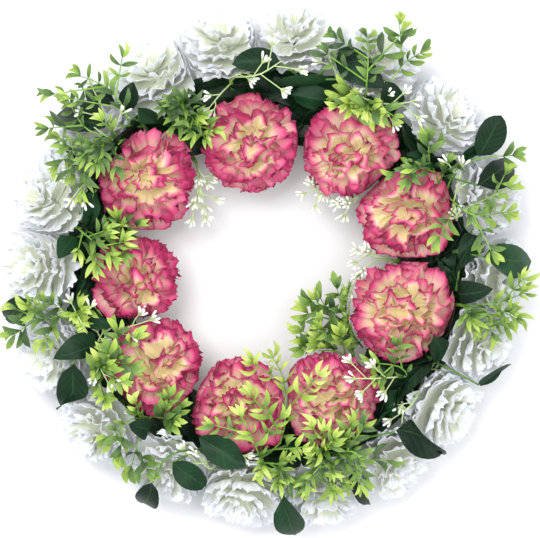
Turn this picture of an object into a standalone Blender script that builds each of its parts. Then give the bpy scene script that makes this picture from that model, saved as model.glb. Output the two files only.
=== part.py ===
# Carnation wreath, 460 mm across, lying on its flat back with its blooms facing up.
# A foam ring carries nine pink carnations round the hole, eighteen white ones on the rim, and
# between and over them sprays of dark leaves, leafy sprigs and sprays of white filler florets.
# Every bloom and spray is one solid whose stem stands in a hole of the ring.

import math
import random

import bmesh
import bpy
from mathutils import Vector
from mathutils.bvhtree import BVHTree

MM = 0.001

# Base ring: a D-shaped section, flat underneath, turned round the Z axis
RING_INNER_RADIUS = 124 * MM
RING_OUTER_RADIUS = 176 * MM
RING_HEIGHT = 41 * MM
RING_SIDES = 26

# Carnations: the petals' depth is given as shares of the head's radius
PINK_TOP_HEIGHT = 0.60
WHITE_TOP_HEIGHT = 0.64
HEAD_UNDERSIDE = 0.42
CALYX_LENGTH = 16 * MM
CALYX_RADIUS = 6.5 * MM
PINK_STEM_DEPTH = 49 * MM
WHITE_STEM_DEPTH = 44 * MM
STEM_END_INSET = 12 * MM
BLOOM_STEM_RADIUS = 2.2 * MM
BLOOM_STEM_SIDES = 4
PETAL_THICKNESS = 0.9 * MM
PETAL_GAP = 0.4 * MM
PETAL_SOFTNESS = 7 * MM
PINK_COLUMNS = 15
WHITE_COLUMNS = 12
PETAL_NOTCH = 0.19
PETAL_RUFFLE = 0.085
HEART_HEIGHT = 0.82

# Petal layers, from the outermost: edge radius, edge height, root radius and root height, all as
# shares of the head's radius
PINK_LAYERS = (
    (1.0, -0.06, 0.74, 0.04),
    (0.84, 0.30, 0.50, 0.28),
    (0.48, 0.50, 0.18, 0.37),
)
WHITE_LAYERS = (
    (1.0, -0.06, 0.66, 0.06),
    (0.70, 0.45, 0.30, 0.40),
)

# Greenery
LEAF_THICKNESS = 0.8 * MM
LEAF_ARCH = 4 * MM
LEAF_FOLD = 0.10
LEAFLET_THICKNESS = 0.8 * MM
LOW_LEAF_LENGTH = 46 * MM
LOW_LEAF_WIDTH = 27 * MM
LOW_LEAF_ARCH = 2.5 * MM
SPRAY_STEM_RADIUS = 1.8 * MM
SPRAY_STEM_SIDES = 3
TWIG_RADIUS = 0.9 * MM
TWIG_SIDES = 3
FLORET_LENGTH = 7.5 * MM
FLORET_RADIUS = 1.5 * MM
FLORETS_IN_UMBEL = 3
LONG_TWIG = 55 * MM
LEAFLET_SPACING = 11 * MM
MOST_LEAF_PAIRS = 2
TIP_LEAF_LENGTH = 12 * MM
HOLE_GAP = 0.3 * MM
GUARD = 0.35 * MM
SEED = 7

# Pink heads: bearing in degrees, distance from the centre, head radius and lean to the hole in degrees
PINK_HEADS = (
    (97.3, 107, 42, 12),
    (54.4, 122, 43, 16),
    (21.7, 127, 44, 18),
    (343.9, 121, 46, 14),
    (295.9, 125, 42, 15),
    (258.7, 122, 44, 14),
    (220.9, 126, 44, 16),
    (184.9, 111, 39, 14),
    (143.9, 127, 44, 15),
)
PINK_HEAD_HEIGHT = 62

# White heads: bearing, distance from the centre, head radius and lean outwards in degrees
WHITE_HEADS = (
    (120.2, 191, 42, 46),
    (102.3, 193, 43, 50),
    (82.8, 196, 43, 52),
    (61.0, 197, 42, 54),
    (40.5, 198, 42, 52),
    (18.0, 197, 41, 56),
    (357.5, 195, 41, 57),
    (340.0, 191, 42, 56),
    (322.0, 191, 43, 56),
    (303.0, 195, 42, 56),
    (284.0, 196, 42, 58),
    (264.0, 191, 44, 60),
    (244.0, 191, 42, 56),
    (223.0, 196, 42, 54),
    (201.5, 197, 42, 52),
    (180.5, 195, 43, 46),
    (161.5, 196, 43, 46),
    (141.0, 190, 38, 52),
)
WHITE_HEAD_HEIGHT = 47

# Sprays of dark leaves: bearing of the stem, then each leaf's base and tip as bearing and distance
LEAF_SPRAYS = (
    (131, ((139, 182, 145, 225), (133, 190, 135, 216), (133, 180, 125, 194), (128, 176, 126, 148))),
    (77, ((86, 174, 100, 176), (74, 172, 88, 164), (72, 195, 57, 183), (58, 188, 50, 176))),
    (29, ((27, 202, 33, 239), (28, 186, 30, 217), (21, 192, 22, 219))),
    (5, ((3, 183, 1, 221), (11, 178, 358, 168), (353, 162, 355, 192))),
    (331, ((338, 150, 333, 172), (331, 205, 339, 212), (330, 162, 316, 164))),
    (293, ((308, 176, 315, 215), (292, 188, 292, 213), (274, 194, 276, 231))),
    (251, ((249, 151, 264, 170), (244, 183, 255, 192), (242, 205, 242, 228), (281, 150, 273, 172),
           (236, 168, 228, 178))),
    (200, ((206, 184, 217, 209), (203, 168, 203, 196), (187, 203, 191, 228))),
    (166, ((171, 165, 178, 178), (155, 158, 167, 161), (150, 172, 149, 200))),
)

# Low leaves of each spray: how far each is turned from straight outwards, in degrees
LOW_LEAF_TURNS = (55, -55, 115, -115)

# Leafy sprigs: bearing of the stem, whether it leaves the ring's crown or its inner flank, and
# the places that its twigs reach, as bearing and distance
SPRIGS = (
    (136, "crown", ((134, 238), (141, 228), (150, 216), (147, 187), (157, 188))),
    (117, "crown", ((115, 112), (118, 158), (125, 146))),
    (168, "crown", ((160, 106), (178, 124))),
    (192, "crown", ((189, 226), (198, 152))),
    (212, "crown", ((213, 206), (211, 150), (209, 116))),
    (232, "crown", ((237, 129), (226, 171), (225, 206), (238, 212))),
    (268, "crown", ((258, 119), (276, 66), (276, 196))),
    (313, "flank", ((338, 44), (353, 58), (293, 53))),
    (319, "crown", ((318, 109),)),
    (288, "crown", ((291, 136), (303, 155), (285, 206), (298, 204))),
    (349, "crown", ((355, 231), (346, 219))),
    (22, "crown", ((40, 130), (25, 241), (13, 216))),
    (59, "crown", ((54, 236), (67, 223), (56, 150), (71, 158))),
)

# White filler sprays, in the same way as the sprigs
FILLERS = (
    (146, "crown", ((133, 221), (152, 192), (162, 177))),
    (101, "crown", ((112, 142), (94, 170), (84, 177))),
    (66, "crown", ((75, 192), (62, 172), (47, 190))),
    (124, "flank", ((125, 84), (138, 71), (150, 74))),
    (46, "flank", ((66, 68), (54, 75), (44, 83))),
    (3, "flank", ((12, 74), (355, 73), (344, 69))),
    (15, "crown", ((29, 190), (18, 170))),
    (325, "crown", ((306, 116), (307, 168), (331, 169))),
    (257, "crown", ((267, 164), (248, 170), (243, 193))),
    (205, "crown", ((188, 171), (200, 146), (205, 103), (218, 166))),
)


def polar(bearing, distance, height):
    """A point from a bearing in degrees, a distance and a height in millimetres."""
    angle = math.radians(bearing)
    return Vector((math.cos(angle) * distance, math.sin(angle) * distance, height)) * MM


# Shapes: each is a closed mesh as a list of points and a list of faces

def thickened(points, triangles, thickness):
    """A closed blade round a surface, with its triangles alike on both faces."""
    normals = [Vector() for _ in points]
    used = {}
    for a, b, c in triangles:
        normal = (points[b] - points[a]).cross(points[c] - points[a])
        for corner in (a, b, c):
            normals[corner] += normal
        for edge in ((a, b), (b, c), (c, a)):
            used[edge] = True
    half = thickness / 2
    front = [p + n.normalized() * half for p, n in zip(points, normals)]
    back = [p - n.normalized() * half for p, n in zip(points, normals)]
    count = len(points)
    faces = list(triangles)
    faces += [(c + count, b + count, a + count) for a, b, c in triangles]
    for a, b in used:
        if (b, a) not in used:
            faces.append((b, a, a + count))
            faces.append((b, a + count, b + count))
    return front + back, faces


def tube(path, radii, sides):
    """A closed tapering prism along a path."""
    points = []
    faces = []
    side = (path[1] - path[0]).orthogonal().normalized()
    for index, place in enumerate(path):
        before = path[max(index - 1, 0)]
        after = path[min(index + 1, len(path) - 1)]
        along = (after - before).normalized()
        side = (side - along * side.dot(along)).normalized()
        other = along.cross(side)
        for step in range(sides):
            angle = math.tau * step / sides
            points.append(place + (side * math.cos(angle) + other * math.sin(angle)) * radii[index])
    for ring in range(len(path) - 1):
        for step in range(sides):
            a = ring * sides + step
            b = ring * sides + (step + 1) % sides
            faces.append((a, b, b + sides))
            faces.append((a, b + sides, a + sides))
    last = (len(path) - 1) * sides
    for step in range(1, sides - 1):
        faces.append((0, step + 1, step))
        faces.append((last, last + step, last + step + 1))
    return points, faces


# Blooms

class Bloom:
    """Where one head stands, how it leans and which neighbours press on it."""

    def __init__(self, name, bearing, distance, radius, lean, height, top_share):
        outwards = polar(bearing, 1000, 0)
        self.name = name
        self.centre = polar(bearing, distance, height)
        self.radius = radius * MM
        self.top = self.radius * top_share
        self.underside = self.radius * HEAD_UNDERSIDE
        self.axis = outwards * math.sin(math.radians(lean)) + Vector((0, 0, math.cos(math.radians(lean))))
        self.side = Vector((0, 0, 1)).cross(outwards).normalized()
        self.other = self.axis.cross(self.side)
        self.planes = []

    def place(self, radius, angle, height):
        around = self.side * math.cos(angle) + self.other * math.sin(angle)
        return self.squeezed(self.centre + self.axis * height + around * radius)

    def squeezed(self, point):
        """The point bent clear of the planes that part this head from its neighbours."""
        for origin, normal in self.planes:
            beyond = (point - origin).dot(normal) + PETAL_GAP
            if beyond > -PETAL_SOFTNESS:
                kept = -PETAL_SOFTNESS * math.exp(-(beyond + PETAL_SOFTNESS) / PETAL_SOFTNESS)
                point = point + normal * (kept - beyond)
        return point

    def level(self, point, margin):
        """Below 1 inside the head: a dome above its widest ring and a cone below it."""
        offset = point - self.centre
        height = offset.dot(self.axis)
        out = (offset - self.axis * height).length / (self.radius + margin)
        if height >= 0:
            return math.hypot(out, height / (self.top + margin))
        return out - height / (self.underside + margin)


def make_blooms():
    blooms = []
    for index, (bearing, distance, radius, lean) in enumerate(PINK_HEADS):
        name = f"pink_carnation_{index + 1:02d}"
        blooms.append(Bloom(name, bearing, distance, radius, -lean, PINK_HEAD_HEIGHT, PINK_TOP_HEIGHT))
    for index, (bearing, distance, radius, lean) in enumerate(WHITE_HEADS):
        name = f"white_carnation_{index + 1:02d}"
        blooms.append(Bloom(name, bearing, distance, radius, lean, WHITE_HEAD_HEIGHT, WHITE_TOP_HEIGHT))
    for bloom in blooms:
        for other in blooms:
            span = other.centre - bloom.centre
            if other is not bloom and span.length < bloom.radius + other.radius + 4 * MM:
                share = bloom.radius / (bloom.radius + other.radius)
                bloom.planes.append((bloom.centre + span * share, span.normalized()))
    return blooms


def head_surface(bloom, columns, layers):
    """The whole head as one closed skin that folds out to every layer's petals and back in between them.

    Three columns make a petal: the notch beside it, a raised corner and a lowered one.
    """
    radius = bloom.radius
    half = PETAL_THICKNESS / 2
    rings = []
    for layer, (edge_radius, edge_height, root_radius, root_height) in enumerate(layers):
        low = []
        high = []
        root = []
        for column in range(columns):
            kind = (column + layer) % 3
            wide = radius * edge_radius * (1 - PETAL_NOTCH if kind == 0 else 1)
            wave = radius * PETAL_RUFFLE * (0, 1, -1)[kind]
            low.append((wide, radius * edge_height + wave - half))
            high.append((wide, radius * edge_height + wave + half))
            root.append((radius * root_radius, radius * root_height + wave * 0.3))
        rings += [low, high, root]
    points = [bloom.place(0, 0, -bloom.underside)]
    for ring in rings:
        for column, (out, height) in enumerate(ring):
            points.append(bloom.place(out, math.tau * column / columns, height))
    points.append(bloom.place(0, 0, bloom.top * HEART_HEIGHT))
    faces = []
    for column in range(columns):
        after = (column + 1) % columns
        faces.append((0, 1 + after, 1 + column))
        for row in range(len(rings) - 1):
            a = 1 + row * columns + column
            b = 1 + row * columns + after
            faces.append((a, b, b + columns))
            faces.append((a, b + columns, a + columns))
        base = 1 + (len(rings) - 1) * columns
        faces.append((base + column, base + after, len(points) - 1))
    return points, faces


def bloom_stem_path(bloom):
    """Points down the stem: inside the head, at the calyx's foot, and at the end in the ring."""
    depth = WHITE_STEM_DEPTH if bloom.name.startswith("white") else PINK_STEM_DEPTH
    calyx_top = bloom.underside * 0.6
    top, foot, end = [bloom.centre - bloom.axis * d for d in (calyx_top, calyx_top + CALYX_LENGTH, depth)]
    outwards = Vector((end.x, end.y, 0))
    end += outwards.normalized() * max(0, RING_INNER_RADIUS + STEM_END_INSET - outwards.length)
    return [top, foot, end]


def bloom_pieces(bloom):
    """The head with its petals in layers, and the calyx with its stem."""
    if bloom.name.startswith("pink"):
        head = head_surface(bloom, PINK_COLUMNS, PINK_LAYERS)
    else:
        head = head_surface(bloom, WHITE_COLUMNS, WHITE_LAYERS)
    radii = [CALYX_RADIUS, BLOOM_STEM_RADIUS, BLOOM_STEM_RADIUS]
    return [head, tube(bloom_stem_path(bloom), radii, BLOOM_STEM_SIDES)]


# What is already in its place, for keeping the greenery clear of it

class Places:
    """Search trees of the solids that stand already, by the node that they belong to."""

    def __init__(self):
        self.kept = []

    def add(self, node, mesh):
        points, faces = mesh
        centre = sum(points, Vector()) / len(points)
        reach = max((p - centre).length for p in points)
        self.kept.append((node, centre, reach, BVHTree.FromPolygons(points, faces)))

    def clear(self, node, mesh):
        points, faces = mesh
        centre = sum(points, Vector()) / len(points)
        reach = max((p - centre).length for p in points)
        tree = BVHTree.FromPolygons(points, faces)
        for other, middle, far, kept in self.kept:
            if other != node and (middle - centre).length < far + reach and kept.overlap(tree):
                return False
        return True


def bent_clear(blooms, point, margin):
    """The point moved out of every head that it would lie in."""
    for _ in range(4):
        for bloom in blooms:
            if (point - bloom.centre).length > bloom.radius + margin:
                continue
            level = bloom.level(point, margin)
            if 0.05 < level < 1:
                point = bloom.centre + (point - bloom.centre) / level
    return point


def cover_height(blooms, bearing, distance):
    """The height, in millimetres, of the heads' upper surface at a place, or 0 where there is none."""
    for height in range(120, 40, -2):
        point = polar(bearing, distance, height)
        if any(bloom.level(point, 0) < 1 for bloom in blooms):
            return height
    return 0


# Greenery

def find_stem(blooms, places, node, bearing, origin):
    """From a hole in the ring out to the space between the heads, or to the space under the pink ones."""
    if origin == "flank":
        return [polar(bearing, 141, 12), polar(bearing, 120, 27), polar(bearing, 109, 34)]
    for height in (66, 60, 72):
        for distance in (166, 163, 169, 160, 172, 157):
            for turn in (0, 1.5, -1.5, 3, -3):
                top = polar(bearing + turn, distance, height)
                stem = [polar(bearing, 150, 22), polar(bearing, 152, 46), top]
                guard = [SPRAY_STEM_RADIUS + 2 * GUARD] * 2
                if places.clear(node, tube(stem[1:], guard, SPRAY_STEM_SIDES)):
                    return stem
    print(node, "has no room for its stem at", bearing)
    return stem


def fork(stem, index, count):
    """Where one of the twigs starts inside the stem, each a little higher than the one before it."""
    return stem[-2].lerp(stem[-1], 0.45 + 0.5 * (index + 1) / count)


def arched(start, end, lift, sway):
    """A path that rises over the straight line between its ends, in two runs, or three if it is long."""
    side = (end - start).cross(Vector((0, 0, 1))).normalized()
    runs = 2 if (end - start).length < LONG_TWIG else 3
    path = []
    for step in range(runs + 1):
        share = step / runs
        bulge = 4 * share * (1 - share)
        path.append(start.lerp(end, share) + Vector((0, 0, lift * bulge)) + side * (sway * bulge))
    return path


def eased(path):
    """The path without the points that hardly bend it."""
    kept = [path[0]]
    for index in range(1, len(path) - 1):
        before = (path[index] - kept[-1]).normalized()
        after = (path[index + 1] - path[index]).normalized()
        if before.dot(after) < 0.985:
            kept.append(path[index])
    kept.append(path[-1])
    return kept


def twig_paths(blooms, places, node, start, end, margin):
    """Arched ways from the stem to a place, each clear of what stands already."""
    for lift in (6, 12, 18, 26, 34, 0):
        for sway in (0, 6, -6, 12, -12):
            path = arched(start, end, lift * MM, sway * MM)
            path = [path[0]] + [bent_clear(blooms, p, margin) for p in path[1:]]
            path = eased(path)
            if min((b - a).length for a, b in zip(path, path[1:])) < 4 * MM:
                continue
            guard = tube(path, [TWIG_RADIUS + 2 * GUARD] * len(path), TWIG_SIDES)
            if places.clear(node, guard):
                yield path


def stations(path, lengths, half_width):
    """Left and right points of a flat twig at some lengths along its path."""
    left = []
    right = []
    for length in lengths:
        point, along = along_path(path, length)
        across = along.cross(Vector((0, 0, 1))).normalized() * half_width
        left.append(point - across)
        right.append(point + across)
    return left, right


def strip(left, right):
    """A twig as points, left and right in turn, and triangles that face up."""
    points = [p for pair in zip(left, right) for p in pair]
    triangles = []
    for step in range(len(left) - 1):
        a = 2 * step
        triangles.append((a, a + 1, a + 3))
        triangles.append((a, a + 3, a + 2))
    return points, triangles


def path_length(path):
    return sum((b - a).length for a, b in zip(path, path[1:]))


def along_path(path, length):
    """The point and direction at a length along a path."""
    for a, b in zip(path, path[1:]):
        step = (b - a).length
        if length <= step:
            return a.lerp(b, length / step), (b - a).normalized()
        length -= step
    return path[-1], (path[-1] - path[-2]).normalized()


def corner_lengths(path):
    """How far along the path each of its points lies."""
    lengths = [0.0]
    for a, b in zip(path, path[1:]):
        lengths.append(lengths[-1] + (b - a).length)
    return lengths


def broad_leaf_rows(base, tip, up, width):
    """The two rows of three points and the tip of a broad leaf."""
    along = tip - base
    across = along.cross(up).normalized()
    normal = across.cross(along).normalized()
    points = []
    for share, wide in ((0.30, 0.92), (0.68, 0.80)):
        middle = base + along * share + normal * (LEAF_ARCH * 4 * share * (1 - share))
        edge = across * (width / 2 * wide)
        raised = normal * (LEAF_FOLD * width * wide)
        points += [middle - edge + raised, middle, middle + edge + raised]
    return points + [tip]


def broad_leaf_triangles(left, right, first):
    """Triangles of a broad leaf from the twig's last two points to the leaf's seven."""
    a, b, c, d, e, f, tip = range(first, first + 7)
    return [
        (left, right, b), (left, b, a), (right, c, b), (a, b, e), (a, e, d),
        (b, c, f), (b, f, e), (d, e, tip), (e, f, tip),
    ]


def leaf_spray(blooms, places, node, stem, leaves, seed):
    """A twig with a broad dark leaf to each of the places."""
    pieces = []
    for index, leaf in enumerate(leaves):
        start = fork(stem, index, len(leaves))
        slimness = random.Random(seed * 100 + index).uniform(0.52, 0.60)
        grown = find_leaf(blooms, places, node, start, leaf, slimness)
        if grown:
            pieces.append(thickened(*grown, LEAF_THICKNESS))
            places.add(node, pieces[-1])
        else:
            print(node, "has no room for the leaf at", leaf)
    for turn in LOW_LEAF_TURNS:
        grown = find_low_leaf(places, node, stem, turn)
        if grown:
            pieces.append(grown)
            places.add(node, grown)
    return pieces


def find_low_leaf(places, node, stem, turn):
    """The first leaf that lies clear just over the ring, from the stem's foot towards one side."""
    base = stem[1].lerp(stem[2], 0.1)
    outwards = Vector((base.x, base.y, 0)).normalized()
    around = Vector((0, 0, 1)).cross(outwards)
    for shorter in (1, 0.85, 0.7, 0.55):
        for rise in (0.0, 0.12, 0.25, -0.1, 0.4):
            for swing in (0, 9, -9, 18, -18, 27, -27):
                angle = math.radians(turn + swing)
                flat = outwards * math.cos(angle) + around * math.sin(angle)
                along = (flat + Vector((0, 0, rise))).normalized() * LOW_LEAF_LENGTH * shorter
                points, triangles = low_leaf(base, along, LOW_LEAF_WIDTH / 2 * shorter)
                if places.clear(node, thickened(points, triangles, LEAF_THICKNESS + 2 * GUARD)):
                    return thickened(points, triangles, LEAF_THICKNESS)
    return None


def low_leaf(base, along, half):
    """A leaf with two pairs of corners between its narrow base and its tip."""
    across = along.cross(Vector((0, 0, 1))).normalized()
    points = [base - across * TWIG_RADIUS, base + across * TWIG_RADIUS]
    for share, wide in ((0.34, half), (0.72, half * 0.72)):
        middle = base + along * share + Vector((0, 0, LOW_LEAF_ARCH))
        points += [middle - across * wide, middle + across * wide]
    points.append(base + along)
    return points, [(0, 1, 3), (0, 3, 2), (2, 3, 5), (2, 5, 4), (4, 5, 6)]


def find_leaf(blooms, places, node, start, leaf, slimness):
    """The surface of the first twig and leaf that clear what stands already, or None."""
    base_bearing, base_distance, tip_bearing, tip_distance = leaf
    for lift in (3, 6, 9, 13, 17, 22):
        base_height = max(cover_height(blooms, base_bearing, base_distance), 60) + lift
        tip_height = max(cover_height(blooms, tip_bearing, tip_distance), 56) + lift
        if tip_distance > 205:
            tip_height = max(tip_height - 14, 42)
        base = bent_clear(blooms, polar(base_bearing, base_distance, base_height), 3 * MM)
        tip = polar(tip_bearing, tip_distance, tip_height)
        width = (tip - base).length * slimness
        for path in twig_paths(blooms, places, node, start, base, 2.5 * MM):
            for roll in (0, 0.3, -0.3, 0.6, -0.6):
                up = Vector((0, 0, 1)) + base.cross(Vector((0, 0, 1))).normalized() * roll
                rows = broad_leaf_rows(base, tip, up, width)
                left, right = stations(path, corner_lengths(path), TWIG_RADIUS)
                points, triangles = strip(left, right)
                triangles += broad_leaf_triangles(len(points) - 2, len(points) - 1, len(points))
                points += [bent_clear(blooms, p, 2.5 * MM) for p in rows]
                if places.clear(node, thickened(points, triangles, LEAF_THICKNESS + 2 * GUARD)):
                    return points, triangles
            break
    return None


def sprig(blooms, places, node, stem, reaches, seed):
    """Twigs that carry pairs of small leaves and one leaf at the tip."""
    return reaching(blooms, places, node, stem, reaches, seed, leafy_twig, TIP_LEAF_LENGTH)


def filler_spray(blooms, places, node, stem, reaches, seed):
    """Thin twigs with an umbel of club-shaped florets at each end."""
    return reaching(blooms, places, node, stem, reaches, seed, umbel_twig, FLORET_LENGTH)


def reaching(blooms, places, node, stem, reaches, seed, grow, tip_length):
    """A twig to each of the places, by the first way on which all that it carries is clear."""
    pieces = []
    for index, (bearing, distance) in enumerate(reaches):
        start = fork(stem, index, len(reaches))
        grown = None
        for height in reach_heights(blooms, bearing, distance):
            end = polar(bearing, distance, height)
            end -= (end - start).normalized() * tip_length
            for path in twig_paths(blooms, places, node, start, end, 3 * MM):
                draw = random.Random(seed * 100 + index)
                grown, guard = grow(blooms, places, node, path, draw)
                if places.clear(node, guard):
                    break
                grown = None
            if grown:
                break
        if grown:
            pieces.append(grown)
            places.add(node, grown)
        else:
            print(node, "has no room for the twig to", bearing, distance)
    return pieces


def reach_heights(blooms, bearing, distance):
    """Heights to try for a twig's tip: over a head, past the rim or in the hole."""
    cover = cover_height(blooms, bearing, distance)
    if cover:
        return (cover + 8, cover + 13, cover + 18, cover + 5, cover + 24)
    if distance < 95:
        return (50, 58, 44, 66, 72)
    return (72, 80, 64, 88, 56)


def leafy_twig(blooms, places, node, path, draw):
    """A flat twig and its small leaves, as one blade cut to the rib, and its guard."""
    total = path_length(path)
    pairs = max(min(int(total * 0.7 / LEAFLET_SPACING), MOST_LEAF_PAIRS), 1)
    leafy = pairs * LEAFLET_SPACING
    leaf_half = 1.5 * MM
    starts = [total - leafy + leafy * index / pairs for index in range(pairs)]
    lengths = [s for s in corner_lengths(path)[:-1] if all(abs(s - t) > 3 * MM for t in starts)]
    lengths += [start + shift for start in starts for shift in (-leaf_half, leaf_half)]
    lengths = sorted(lengths) + [total]
    left, right = stations(path, lengths, TWIG_RADIUS * 0.9)
    points, triangles = strip(left, right)
    for index, start in enumerate(starts):
        place = lengths.index(start - leaf_half)
        point, along = along_path(path, start)
        side = along.cross(Vector((0, 0, 1))).normalized()
        for turn in (1, -1):
            length = draw.uniform(11, 15) * (1 - 0.2 * index / pairs) * MM
            rise = draw.uniform(0.1, 0.6)
            direction = (along * 0.75 + side * turn + Vector((0, 0, rise))).normalized()
            leaf = clear_leaflet(blooms, places, node, point, direction, along, length)
            if not leaf:
                continue
            first = len(points)
            points += leaf
            if turn > 0:
                a, b = 2 * place + 1, 2 * place + 3
                triangles += [(b, a, first + 1), (b, first + 1, first)]
            else:
                a, b = 2 * place, 2 * place + 2
                triangles += [(a, b, first), (a, first, first + 1)]
    point, along = along_path(path, total)
    length = TIP_LEAF_LENGTH * draw.uniform(0.9, 1.15)
    direction = (along + Vector((0, 0, draw.uniform(0.0, 0.4)))).normalized()
    side = along.cross(Vector((0, 0, 1))).normalized()
    end = bent_clear(blooms, point + direction * length, 2 * MM)
    across = side * (length * 0.21)
    middle = point.lerp(end, 0.55)
    first = len(points)
    last = 2 * len(lengths) - 2
    points += [middle - across, middle + across, end]
    triangles += [(last, last + 1, first + 1), (last, first + 1, first), (first, first + 1, first + 2)]
    guard = thickened(points, triangles, LEAFLET_THICKNESS + 2 * GUARD)
    return thickened(points, triangles, LEAFLET_THICKNESS), guard


def clear_leaflet(blooms, places, node, base, direction, along, length):
    """The widest point and the tip of a small leaf, tipped up until it clears what stands already."""
    for rise in (0, 0.4, 0.9, 1.6):
        raised = (direction + Vector((0, 0, rise))).normalized()
        tip = bent_clear(blooms, base + raised * length, 2 * MM)
        wide = base.lerp(tip, 0.5) + along * (length * 0.30) + Vector((0, 0, 0.06 * length))
        blade = thickened([base, wide, tip], [(0, 1, 2)], LEAFLET_THICKNESS + 2 * GUARD)
        if places.clear(node, blade):
            return [wide, tip]
    return None


def umbel_twig(blooms, places, node, path, draw):
    """A twig that ends in an umbel, and its guard."""
    spread = [draw.uniform(0.5, 0.9) for _ in range(FLORETS_IN_UMBEL)]
    return umbel(path, spread, 0), umbel(path, spread, GUARD)


def umbel(path, spread, extra):
    """A twig whose end opens into a pyramid, with a club-shaped floret drawn out of each of its faces."""
    sides = len(spread)
    radius = TWIG_RADIUS + extra
    floret_radius = FLORET_RADIUS + extra
    points, faces = tube(path, [radius] * (len(path) - 1) + [radius * 1.3], sides)
    end = (len(path) - 1) * sides
    faces = [face for face in faces if min(face) < end]
    ring = list(range(len(points) - sides, len(points)))
    centre = sum((points[i] for i in ring), Vector()) / sides
    along = (path[-1] - path[-2]).normalized()
    top = len(points)
    points.append(centre + along * radius)
    for step in range(sides):
        a = ring[step]
        b = ring[(step + 1) % sides]
        out = ((points[a] + points[b]) / 2 - centre).normalized()
        direction = (along + out * spread[step] + Vector((0, 0, 0.3))).normalized()
        first = len(points)
        heart = (points[a] + points[b] + points[top]) / 3
        for corner in (a, b, top):
            wide = (points[corner] - heart).normalized() * floret_radius
            points.append(heart + direction * (FLORET_LENGTH * 0.7) + wide)
        points.append(heart + direction * (FLORET_LENGTH + extra))
        corners = (a, b, top)
        for side in range(3):
            low = corners[side]
            after = corners[(side + 1) % 3]
            faces.append((low, after, first + (side + 1) % 3))
            faces.append((low, first + (side + 1) % 3, first + side))
            faces.append((first + side, first + (side + 1) % 3, first + 3))
    return points, faces


# Objects

def material(name, colour, roughness):
    made = bpy.data.materials.new(name)
    made.use_nodes = True
    shader = made.node_tree.nodes["Principled BSDF"]
    shader.inputs["Base Color"].default_value = (*colour, 1)
    shader.inputs["Roughness"].default_value = roughness
    made.diffuse_color = (*colour, 1)
    return made


def mesh_object(name, shape):
    points, faces = shape
    mesh = bpy.data.meshes.new(name)
    mesh.from_pydata(points, [], faces)
    made = bpy.data.objects.new(name, mesh)
    bpy.context.scene.collection.objects.link(made)
    return made


def boolean_applied(target, collection, operation):
    """The target's mesh replaced by its union with, or cut by, the collection, whose objects then go."""
    modifier = target.modifiers.new("join", "BOOLEAN")
    modifier.operand_type = "COLLECTION"
    modifier.collection = collection
    modifier.operation = operation
    modifier.solver = "MANIFOLD"
    bpy.context.view_layer.update()
    graph = bpy.context.evaluated_depsgraph_get()
    made = bpy.data.meshes.new_from_object(target.evaluated_get(graph))
    target.modifiers.clear()
    target.data = made
    for helper in list(collection.objects):
        bpy.data.objects.remove(helper)
    bpy.data.collections.remove(collection)


def only_outer_body(target):
    """Removes loose scraps, and the inner skins of hollows that the union sealed."""
    work = bmesh.new()
    work.from_mesh(target.data)
    seen = set()
    bodies = []
    for first in work.verts:
        if first in seen:
            continue
        body = []
        queue = [first]
        seen.add(first)
        while queue:
            vertex = queue.pop()
            body.append(vertex)
            for edge in vertex.link_edges:
                other = edge.other_vert(vertex)
                if other not in seen:
                    seen.add(other)
                    queue.append(other)
        bodies.append(body)
    bodies.sort(key=len)
    for body in bodies[:-1]:
        bmesh.ops.delete(work, geom=body, context="VERTS")
    work.to_mesh(target.data)
    work.free()


def fused(name, pieces, finish):
    """One solid from overlapping pieces."""
    target = mesh_object(name, pieces[0])
    helpers = bpy.data.collections.new(name + "_pieces")
    bpy.context.scene.collection.children.link(helpers)
    for index, piece in enumerate(pieces[1:]):
        helper = mesh_object(f"{name}_piece_{index}", piece)
        bpy.context.scene.collection.objects.unlink(helper)
        helpers.objects.link(helper)
    boolean_applied(target, helpers, "UNION")
    only_outer_body(target)
    target.data.materials.clear()
    target.data.materials.append(finish)
    return target


def base_ring(finish):
    """The foam ring before its holes are cut: a D-shaped section spun round the Z axis."""
    middle = (RING_INNER_RADIUS + RING_OUTER_RADIUS) / 2
    half = (RING_OUTER_RADIUS - RING_INNER_RADIUS) / 2
    section = (
        (-half, 0),
        (-half * 0.96, RING_HEIGHT * 0.44),
        (-half * 0.54, RING_HEIGHT * 0.88),
        (0, RING_HEIGHT),
        (half * 0.54, RING_HEIGHT * 0.88),
        (half * 0.96, RING_HEIGHT * 0.44),
        (half, 0),
    )
    work = bmesh.new()
    corners = [work.verts.new((middle + x, 0, z)) for x, z in section]
    edges = [work.edges.new((a, b)) for a, b in zip(corners, corners[1:] + corners[:1])]
    bmesh.ops.spin(
        work, geom=corners + edges, axis=(0, 0, 1), cent=(0, 0, 0), angle=math.tau, steps=RING_SIDES,
        use_merge=True,
    )
    bmesh.ops.recalc_face_normals(work, faces=work.faces)
    mesh = bpy.data.meshes.new("base_ring")
    work.to_mesh(mesh)
    work.free()
    mesh.shade_smooth()
    mesh.set_sharp_from_angle(angle=math.radians(50))
    ring = bpy.data.objects.new("base_ring", mesh)
    bpy.context.scene.collection.objects.link(ring)
    mesh.materials.append(finish)
    return ring


def cut_stem_holes(ring, stems):
    """A plain hole for every stem, with a gap all round it."""
    holes = bpy.data.collections.new("stem_holes")
    bpy.context.scene.collection.children.link(holes)
    for index, (stem, radius, sides) in enumerate(stems):
        path = list(stem)
        path[0] += (stem[0] - stem[1]).normalized() * HOLE_GAP
        path[-1] += (stem[-1] - stem[-2]).normalized() * HOLE_GAP
        wide = radius + HOLE_GAP / math.cos(math.pi / sides)
        cutter = mesh_object(f"stem_hole_{index}", tube(path, [wide] * len(path), sides))
        bpy.context.scene.collection.objects.unlink(cutter)
        holes.objects.link(cutter)
    boolean_applied(ring, holes, "DIFFERENCE")
    only_outer_body(ring)


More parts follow.
